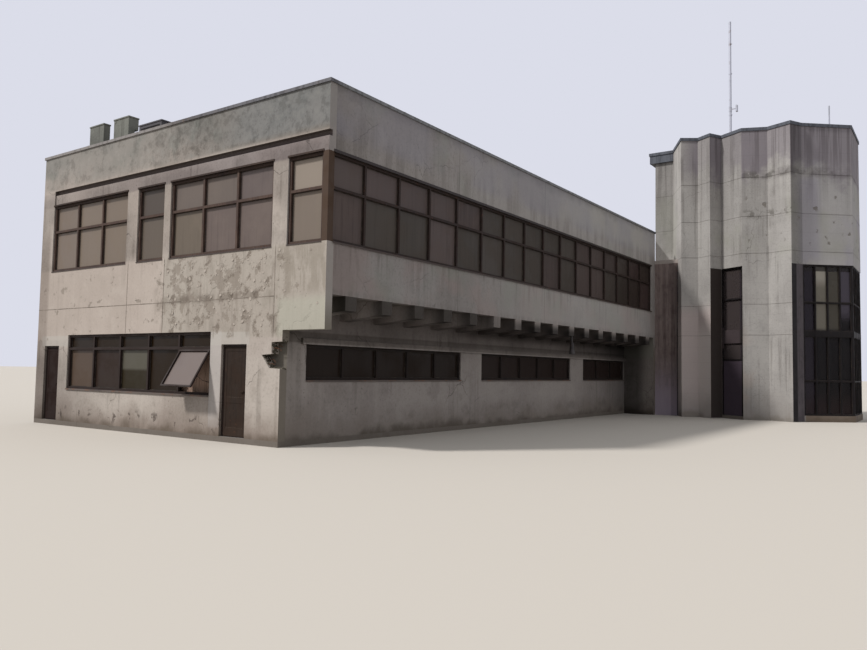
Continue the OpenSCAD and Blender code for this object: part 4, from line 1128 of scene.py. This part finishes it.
class BUILDING_OT_window_sills(bpy.types.Operator):
    """Makes the folded sheets on the sills, and the strips over the windows that stand in for the shade line
    at the window heads.
    """

    bl_idname = "building.window_sills"
    bl_label = "Window sills"

    def execute(self, context):
        sizes = context.scene.building_sizes
        thick = sizes.sill_t
        bm = bmesh.new()

        def sill(wall, low, high, level, lip, fold):
            box(bm, (low, -0.04, level), (high, lip, level + thick), wall)
            box(bm, (low, lip - thick, level - fold), (high, lip, level), wall)

        for low, high in ((0.15, 4.8), (4.81, 9.6), (9.61, 14.4), (14.41, 19.2)):
            sill(LONG, low, high, SILL, sizes.sill_lip, 0.028)
            # Strips at the window heads that stand in for the shade line under the lintel
            box(bm, (low, -0.04, HEAD - 0.012), (high, 0.018, HEAD), LONG)
            box(bm, (low, 0.0, HEAD), (high, 0.018, HEAD + 0.05), LONG)
        for low, high in UPPER_WINDOWS:
            sill(END, low, high, SILL, 0.012, 0.02)
        for low, high in STRIPS:
            sill(LOWER, low, high, STRIP_SILL, sizes.sill_lip, 0.03)
        sill(END, *END_STRIP, END_STRIP_SILL, sizes.sill_lip, 0.03)
        set_piece("sill_sheets", bm, "folded_sheet")
        bm = bmesh.new()
        # Strips over the end windows, standing in for the shade line under the lintel
        for wall, spans in ((END, UPPER_WINDOWS), (FAR, UPPER_WINDOWS[1:])):
            for low, high in spans:
                box(bm, (low + 0.002, -0.03, HEAD - 0.008), (high - 0.002, 0.014, HEAD), wall)
                box(bm, (low - 0.02, -BITE, HEAD - 0.008), (high + 0.02, 0.014, HEAD + 0.04), wall)
        set_piece("window_head_flashings", bm, "window_frame", soften=0.001)
        return {"FINISHED"}


class BUILDING_OT_wall_joints(bpy.types.Operator):
    """Makes the filler beads in the end wall's joints and the tower's pour ridges."""

    bl_idname = "building.wall_joints"
    bl_label = "Wall joints"

    def execute(self, context):
        sizes = context.scene.building_sizes
        bm = bmesh.new()
        half = sizes.joint_w / 2
        clear = 0.02
        ends = [at - clear for at in END_JOINTS[1:]] + [BLOCK_REAR]
        for at, high in zip(END_JOINTS, ends):
            box(bm, (at + clear, -BITE, LEVEL_JOINT - half), (high, 0.003, LEVEL_JOINT + half), END)
        for at in END_JOINTS:
            box(bm, (at - half, -BITE, 2.46), (at + half, 0.003, 4.2), END)
        set_piece("end_wall_joint_beads", bm, "joint_filler")
        bm = bmesh.new()
        half = sizes.ridge_w / 2
        for face in range(2, 19):
            low, high = pleat_span(face, -sizes.ridge_d, 0.0)
            for at in UPPER_POURS if face in GLAZED_FACES else POURS:
                box(bm, (low, -0.002, at - half), (high, sizes.ridge_d, at + half), pleat(face))
        set_piece("tower_pour_ridges", bm, "tower_concrete", soften=0.002)
        return {"FINISHED"}


class BUILDING_OT_paint_flakes(bpy.types.Operator):
    """Makes the curled flakes that hang on the end wall's peeling paint."""

    bl_idname = "building.paint_flakes"
    bl_label = "Paint flakes"

    def execute(self, context):
        luck = random.Random(7)
        bm = bmesh.new()
        for index in range(context.scene.building_sizes.flakes):
            along = luck.uniform(1.3, 5.2) if index % 4 else luck.uniform(0.2, 10.6)
            level = luck.uniform(2.55, 4.15)
            size = luck.uniform(0.016, 0.05)
            verts = bmesh.ops.create_circle(bm, cap_ends=True, segments=7, radius=size)["verts"]
            lean = luck.uniform(0.05, 0.25)
            for vert in verts:
                vert.co.x *= luck.uniform(0.6, 1.3)
                vert.co.y *= luck.uniform(0.5, 1.1)
                vert.co.z = max(0.0, -vert.co.y) * lean + 0.002
            raised = thicken(bm, list({face for vert in verts for face in vert.link_faces}), 0.0015)
            turn = Matrix.Rotation(luck.uniform(-0.9, 0.9), 4, "Z")
            stand = Matrix(((1, 0, 0, along), (0, 0, 1, 0), (0, 1, 0, level), (0, 0, 0, 1)))
            bmesh.ops.transform(bm, matrix=END @ stand @ turn, verts=verts + raised)
        set_piece("loose_paint_flakes", bm, "loose_paint")
        return {"FINISHED"}


class BUILDING_OT_broken_pier(bpy.types.Operator):
    """Makes the crumbled faces and bent bars where the overhung pier is broken."""

    bl_idname = "building.broken_pier"
    bl_label = "Broken pier"

    def execute(self, context):
        lumps = context.scene.building_sizes.rubble
        luck = random.Random(11)
        edge = [(1.24, 2.4), (1.19, 2.2), (1.51, 2.19), (1.5, 1.94), (1.8, 1.92), (1.56, 1.64), (1.24, 1.63)]
        runs = [(Vector(start), Vector(end)) for start, end in zip(edge, edge[1:])]
        total = sum((end - start).length for start, end in runs)
        bm = bmesh.new()
        for start, end in runs:
            for _ in range(max(4, round(lumps * (end - start).length / total))):
                spot = start.lerp(end, luck.uniform(0.03, 0.97))
                size = luck.uniform(0.012, 0.034)
                verts = bmesh.ops.create_icosphere(bm, subdivisions=1, radius=size)["verts"]
                for vert in verts:
                    vert.co *= luck.uniform(0.75, 1.2)
                depth = -luck.uniform(0.02, 0.18)
                bmesh.ops.translate(bm, vec=END @ Vector((spot.x, depth, spot.y)), verts=verts)
        set_piece("broken_pier_rubble", bm, "rubble")
        bm = bmesh.new()
        for points in (
            [(1.50, -0.05, 2.06), (1.42, -0.05, 2.07), (1.33, -0.055, 2.05), (1.27, -0.07, 2.00)],
            [(1.50, -0.15, 2.10), (1.41, -0.15, 2.12), (1.32, -0.145, 2.09)],
            [(1.70, -0.10, 1.80), (1.62, -0.10, 1.83), (1.53, -0.10, 1.82), (1.46, -0.09, 1.76)],
            [(1.62, -0.04, 1.72), (1.52, -0.04, 1.74), (1.42, -0.05, 1.71)],
        ):
            rod(bm, points, 0.006, 8, END)
        set_piece("broken_pier_bars", bm, "rusty_steel")
        return {"FINISHED"}


def leaf_rails(bm, place, span, proud, width, height, rises):
    """Adds upright stiles at both edges of a door leaf, and rails between them."""
    low, high = span
    back = DOOR_FACE - BITE
    front = DOOR_FACE + proud
    for left, right in ((low, low + width), (high - width, high)):
        box(bm, (left, back, height[0]), (right, front, height[1]), place)
    for bottom, top in rises:
        box(bm, (low + width, back, bottom), (high - width, front, top), place)


class BUILDING_OT_door_fittings(bpy.types.Operator):
    """Makes the rails and plates of the three doors and the thresholds of the end wall's doors."""

    bl_idname = "building.door_fittings"
    bl_label = "Door fittings"

    def execute(self, context):
        proud = DOOR_FACE + 0.005
        for side, low, high in (("right", 2.344, 3.058), ("left", 9.974, 10.598)):
            name = "end_door_" + side
            body = side + "_leaf"
            bm = bmesh.new()
            rises = ((0.135, 0.325), (0.86, 0.99), (2.0, 2.085))
            leaf_rails(bm, END, (low, high), 0.005, 0.085, (0.135, 2.085), rises)
            for bottom, top in ((0.33, 0.42), (0.92, 1.01), (1.78, 1.87)):
                box(bm, (low + 0.08, DOOR_BACK - 0.003, bottom), (high - 0.08, DOOR_BACK + BITE, top), END)
            foot = (low + 0.1, DOOR_BACK - BITE, 0.44)
            flat_bar(bm, foot, (high - 0.1, DOOR_BACK - BITE, 0.90), 0.07, 0.004, END, (0, 1, 0))
            set_piece(name + "_rails", bm, "door_paint", body, soften=0.0015)
            bm = bmesh.new()
            box(bm, (low + 0.01, proud - BITE, 0.145), (high - 0.01, proud + 0.0015, 0.305), END)
            for at, level in product((low + 0.03, (low + high) / 2, high - 0.03), (0.165, 0.285)):
                tube(bm, (at, proud, level), (at, proud + 0.004, level), 0.007, 0.005, 10, END)
            set_piece(name + "_kick_plate", bm, "door_paint", body, soften=0.0004)
        bm = bmesh.new()
        for low, high in ((2.28, 3.11), (9.91, 10.65)):
            box(bm, (low + 0.002, -0.125, 0.1195), (high - 0.002, -0.055, 0.1245), END)
            for step in range(4):
                at = -0.068 - step * 0.014
                box(bm, (low + 0.02, at - 0.003, 0.124), (high - 0.02, at + 0.003, 0.1262), END)
        set_piece("door_thresholds", bm, "dark_steel", soften=0.0008)
        place = pleat(5)
        low, high = local_box("recess_door", place)
        bm = bmesh.new()
        rises = ((0.135, 0.34), (1.0, 1.1), (2.05, 2.15))
        leaf_rails(bm, place, (low.x + 0.006, high.x - 0.006), 0.004, 0.09, (0.135, 2.15), rises)
        set_piece("recess_door_rails", bm, "door_paint", "recess_leaf", soften=0.0015)
        return {"FINISHED"}


def roof_ring(bm, width, bottom, top):
    """Adds four strips along the inside of the block's parapet."""
    (left, front), (right, rear) = ROOF_WELL
    for low, high in (
        ((left, front), (left + width, rear)),
        ((right - width, front), (right, rear)),
        ((left, front), (right, front + width)),
        ((left, rear - width), (right, rear)),
    ):
        box(bm, (*low, bottom), (*high, top))


class BUILDING_OT_roof_covering(bpy.types.Operator):
    """Lays felt on both roofs, with laps, upstands and drains."""

    bl_idname = "building.roof_covering"
    bl_label = "Roof covering"

    def execute(self, context):
        sizes = context.scene.building_sizes
        (left, front), (right, rear) = ROOF_WELL
        top = ROOF + sizes.felt_t
        up = ROOF + sizes.upstand_h
        bm = bmesh.new()
        seams = equal_lines(left, right, round((right - left) / sizes.felt_w))
        for low, high in zip(seams, seams[1:]):
            box(bm, (low, front, ROOF - BITE), (high, rear, top))
            if low > left:
                box(bm, (low - sizes.felt_lap, front, top - BITE), (low, rear, top + sizes.felt_t))
        roof_ring(bm, 0.006, ROOF, up)
        set_piece("block_roof_felt", bm, "roof_felt", soften=0.001)
        bm = bmesh.new()
        roof_ring(bm, 0.012, up - 0.03, up)
        for x, y in ((6.5, 10.3), (13.0, 10.3)):
            tube(bm, (x, y, top), (x, y, ROOF + 0.02), 0.13, 0.12)
            tube(bm, (x, y, ROOF + 0.02), (x, y, ROOF + 0.075), 0.085, 0.06)
            for step in range(12):
                turn = step * math.tau / 12
                cage = ((0.092, 0.02), (0.08, 0.08), (0.03, 0.1))
                points = [(x + math.cos(turn) * out, y + math.sin(turn) * out, ROOF + z) for out, z in cage]
                rod(bm, points, 0.004, 6)
        set_piece("block_roof_trim", bm, "folded_sheet", soften=0.001)
        bm = bmesh.new()
        corners = [site(*inset_corner(index, 0.21), TOWER_ROOF + BITE) for index in range(1, 21)]
        thicken(bm, [bm.faces.new([bm.verts.new(corner) for corner in corners])], sizes.felt_t)
        set_piece("tower_roof_felt", bm, "roof_felt")
        return {"FINISHED"}


class BUILDING_OT_coping_covers(bpy.types.Operator):
    """Makes the covers over the joints of the block's coping."""

    bl_idname = "building.coping_covers"
    bl_label = "Coping covers"

    def execute(self, context):
        sizes = context.scene.building_sizes
        half = sizes.saddle_w / 2
        bottom = PARAPET + 0.01
        top = COPING + 0.003
        front = (-0.033, 0.235)
        bm = bmesh.new()
        for at in equal_lines(0, BLOCK_END, round(BLOCK_END / sizes.saddle_pitch))[1:-1]:
            for near, far in (front, (BLOCK_REAR - 0.235, BLOCK_REAR + 0.029)):
                box(bm, (at - half, near, bottom), (at + half, far, top))
        for at in equal_lines(0, BLOCK_REAR, round(BLOCK_REAR / sizes.saddle_pitch))[1:-1]:
            for near, far in (front, (BLOCK_END - 0.235, BLOCK_END + 0.033)):
                box(bm, (near, at - half, bottom), (far, at + half, top))
        set_piece("coping_joint_covers", bm, "coping_metal", soften=0.002)
        return {"FINISHED"}


class BUILDING_OT_stack_trim(bpy.types.Operator):
    """Makes the caps, flashings and louvres of the roof stacks."""

    bl_idname = "building.stack_trim"
    bl_label = "Stack trim"

    def execute(self, context):
        bm = bmesh.new()
        top = 8.41
        for low, high, out in ((9.19, 9.88, 0.79), (8.0, 8.69, 0.9)):
            box(bm, (0.585, low - 0.015, top - 0.03), (out + 0.015, high + 0.015, top + 0.008))
            box(bm, (0.59, low - 0.012, ROOF), (0.80, high + 0.012, ROOF + 0.12))
        box(bm, (0.585, 6.505, 8.01), (0.915, 7.515, 8.048))
        box(bm, (0.59, 6.508, ROOF), (0.912, 7.512, ROOF + 0.12))
        set_piece("stack_flashings", bm, "vent_render", soften=0.003)
        bm = bmesh.new()
        for step in range(7):
            level = 7.72 + step * 0.036
            flat_bar(bm, (0.596, 6.6, level), (0.596, 7.42, level), 0.035, 0.004, LEVEL, (-0.7, 0, 1))
        set_piece("vent_box_louvre", bm, "dark_steel")
        return {"FINISHED"}


class BUILDING_OT_mast_fittings(bpy.types.Operator):
    """Makes the collars, feet and clamps of the masts."""

    bl_idname = "building.mast_fittings"
    bl_label = "Mast fittings"

    def execute(self, context):
        x = TOWER_MIDDLE
        bm = bmesh.new()
        for y, radius, top in MASTS:
            for level in (TOWER_ROOF + height for height in (0.9, 2.1, 3.9, 5.2)):
                if level < top:
                    tube(bm, (x, y, level - 0.03), (x, y, level + 0.03), radius + 0.008)
                    low = (x - 0.012, y - radius - 0.03, level - 0.025)
                    box(bm, low, (x + 0.012, y - radius, level + 0.025))
            tube(bm, (x, y, TOWER_ROOF + 0.02), (x, y, TOWER_ROOF + 0.07), radius + 0.02, radius + 0.004)
            for turn in range(4):
                angle = turn * math.pi / 2 + math.pi / 4
                out = Vector((math.cos(angle), math.sin(angle), 0)) * radius * 2.1
                spot = Vector((x, y, TOWER_ROOF + 0.018)) + out
                tube(bm, spot, spot + Vector((0, 0, 0.022)), 0.012, sides=6)
                tube(bm, spot, spot + Vector((0, 0, 0.04)), 0.006, sides=8)
        y = MASTS[0][0]
        for level in (12.93, 13.07):
            tube(bm, (x, y, level - 0.012), (x, y, level + 0.012), 0.062)
        set_piece("mast_collars", bm, "mast_steel")
        return {"FINISHED"}


class BUILDING_OT_link_battens(bpy.types.Operator):
    """Makes the upright battens of the link's panel."""

    bl_idname = "building.link_battens"
    bl_label = "Link battens"

    def execute(self, context):
        place = facade(BLOCK_END, 0, (0, -1, 0), (-1, 0, 0))
        low, high = local_box("link_panel", place)
        bm = bmesh.new()
        for at in (low.x + 0.03, high.x - 0.03):
            foot = (at - 0.02, high.y - BITE, low.z + 0.02)
            box(bm, foot, (at + 0.02, high.y + 0.004, high.z - 0.02), place)
        set_piece("link_panel_battens", bm, "dark_steel", soften=0.001)
        return {"FINISHED"}


class BUILDING_OT_open_window(bpy.types.Operator):
    """Makes the stays of the open window and the boards that stand behind it."""

    bl_idname = "building.open_window"
    bl_label = "Open window fittings"

    def execute(self, context):
        bm = bmesh.new()
        for at, bar in ((3.60, 3.54), (4.60, 4.66)):
            rod(bm, [(at, -0.075, 1.30), (at, 0.10, 1.34), (at, 0.30, 1.47)], 0.006, 8, END)
            tube(bm, (bar, -0.075, 1.30), (at, -0.075, 1.30), 0.012, None, 12, END)
        set_piece("open_window_stays", bm, "dark_steel")
        bm = bmesh.new()
        for step in range(6):
            low = 3.44 + step * 0.22
            box(bm, (low, -0.222, GROUND), (low + 0.214, -0.2, 2.3), END)
        set_piece("inner_boards", bm, "inner_board", soften=0.002)
        return {"FINISHED"}


class BUILDING_OT_hanging_stub(bpy.types.Operator):
    """Makes the old lamp stub under one rib."""

    bl_idname = "building.hanging_stub"
    bl_label = "Hanging stub"

    def execute(self, context):
        bm = bmesh.new()
        tube(bm, (11.78, 0.12, 3.15), (11.78, 0.12, 3.125), 0.09, None, 20)
        tube(bm, (11.78, 0.12, 3.13), (11.79, 0.10, 2.62), 0.04, None, 16)
        tube(bm, (11.79, 0.10, 2.63), (11.8, 0.09, 2.28), 0.06, 0.095, 20)
        tube(bm, (11.8, 0.09, 2.285), (11.8, 0.09, 2.262), 0.1, None, 20)
        set_piece("hanging_lamp_stub", bm, "dark_steel", soften=0.002)
        return {"FINISHED"}


class BUILDING_OT_stage(bpy.types.Operator):
    """Sets the floor, the lamp, the backdrop and the camera."""

    bl_idname = "building.stage"
    bl_label = "Stage"

    def execute(self, context):
        scene = context.scene
        colours = scene.building_colours
        light = scene.building_light
        scene.view_settings.view_transform = "Standard"

        bm = bmesh.new()
        bmesh.ops.create_grid(bm, x_segments=1, y_segments=1, size=400)
        mesh = bpy.data.meshes.new("studio_floor")
        bm.to_mesh(mesh)
        bm.free()
        look = bpy.data.materials.new("studio_floor")
        look.use_nodes = True
        nodes = Nodes(look.node_tree)
        shader = look.node_tree.nodes["Principled BSDF"].inputs
        shader["Roughness"].default_value = 0.9
        shader["Specular IOR Level"].default_value = 0.1
        seen_colour = nodes.mix(nodes.seen(), (0.30, 0.28, 0.26, 1), (*colours.ground, 1))
        nodes.feed(shader["Base Color"], seen_colour)
        mesh.materials.append(look)
        floor = bpy.data.objects.new("studio_floor", mesh)
        scene.collection.objects.link(floor)

        scene.world = bpy.data.worlds.new("studio")
        scene.world.use_nodes = True
        scene.world.node_tree.nodes.clear()
        nodes = Nodes(scene.world.node_tree)
        fill = nodes.add("Background", {"Color": (0.97, 0.98, 1.0, 1), "Strength": light.sky})[0]
        backdrop = nodes.add("Background", {"Color": (*colours.sky, 1)})[0]
        surface = nodes.add("MixShader", {0: nodes.seen(), 1: fill, 2: backdrop})[0]
        nodes.add("OutputWorld", {"Surface": surface})

        lamp = bpy.data.lights.new("large_lamp", "SUN")
        lamp.energy = light.sun
        lamp.angle = light.sun_spread
        lamp.color = (1.0, 0.975, 0.94)
        lamp_object = bpy.data.objects.new("large_lamp", lamp)
        towards = Vector((-1.2, 1.0, 1.63)).normalized()
        lamp_object.rotation_euler = towards.to_track_quat("Z", "Y").to_euler()
        scene.collection.objects.link(lamp_object)

        turn, lift, roll = (math.radians(value) for value in (35.166, 3.461, 0.9825))
        ahead = Vector((math.cos(turn) * math.cos(lift), math.sin(turn) * math.cos(lift), math.sin(lift)))
        level_right = Vector((math.sin(turn), -math.cos(turn), 0))
        level_up = level_right.cross(ahead)
        right = math.cos(roll) * level_right + math.sin(roll) * level_up
        up = math.cos(roll) * level_up - math.sin(roll) * level_right
        view = bpy.data.cameras.new("street_view")
        view.lens = light.lens
        view.sensor_width = 36
        view.sensor_fit = "HORIZONTAL"
        view.clip_end = 1000
        camera = bpy.data.objects.new("street_view", view)
        axes = Matrix((right, up, -ahead)).transposed().to_4x4()
        eye = (-23.4733, -12.356, 1.65)
        camera.matrix_world = Matrix.Translation(eye) @ axes
        scene.collection.objects.link(camera)
        scene.camera = camera
        return {"FINISHED"}


OPERATORS = (
    BUILDING_OT_node_finishes,
    BUILDING_OT_pane_seals,
    BUILDING_OT_curtain_caps,
    BUILDING_OT_window_sills,
    BUILDING_OT_wall_joints,
    BUILDING_OT_paint_flakes,
    BUILDING_OT_broken_pier,
    BUILDING_OT_door_fittings,
    BUILDING_OT_roof_covering,
    BUILDING_OT_coping_covers,
    BUILDING_OT_stack_trim,
    BUILDING_OT_mast_fittings,
    BUILDING_OT_link_battens,
    BUILDING_OT_open_window,
    BUILDING_OT_hanging_stub,
    BUILDING_OT_stage,
)


class BUILDING_PT_panel(bpy.types.Panel):
    """Lists the building's pieces."""

    bl_label = "Office building"
    bl_idname = "BUILDING_PT_panel"
    bl_space_type = "VIEW_3D"
    bl_region_type = "UI"
    bl_category = "Building"

    def draw(self, context):
        for kind in OPERATORS:
            self.layout.operator(kind.bl_idname)
        for group, _ in GROUPS:
            settings = getattr(context.scene, group)
            column = self.layout.column(align=True)
            for name in settings.__annotations__:
                column.prop(settings, name)


GROUPS = (
    ("building_sizes", BuildingSizes),
    ("building_colours", BuildingColours),
    ("building_light", BuildingLight),
)


def register():
    for name, group in GROUPS:
        bpy.utils.register_class(group)
        setattr(bpy.types.Scene, name, PointerProperty(type=group))
    for kind in (*OPERATORS, BUILDING_PT_panel):
        bpy.utils.register_class(kind)


def unregister():
    for kind in reversed((*OPERATORS, BUILDING_PT_panel)):
        bpy.utils.unregister_class(kind)
    for name, group in reversed(GROUPS):
        delattr(bpy.types.Scene, name)
        bpy.utils.unregister_class(group)


def main():
    register()
    for kind in OPERATORS:
        getattr(bpy.ops.building, kind.bl_idname.split(".")[1])()


if __name__ == "__main__":
    main()
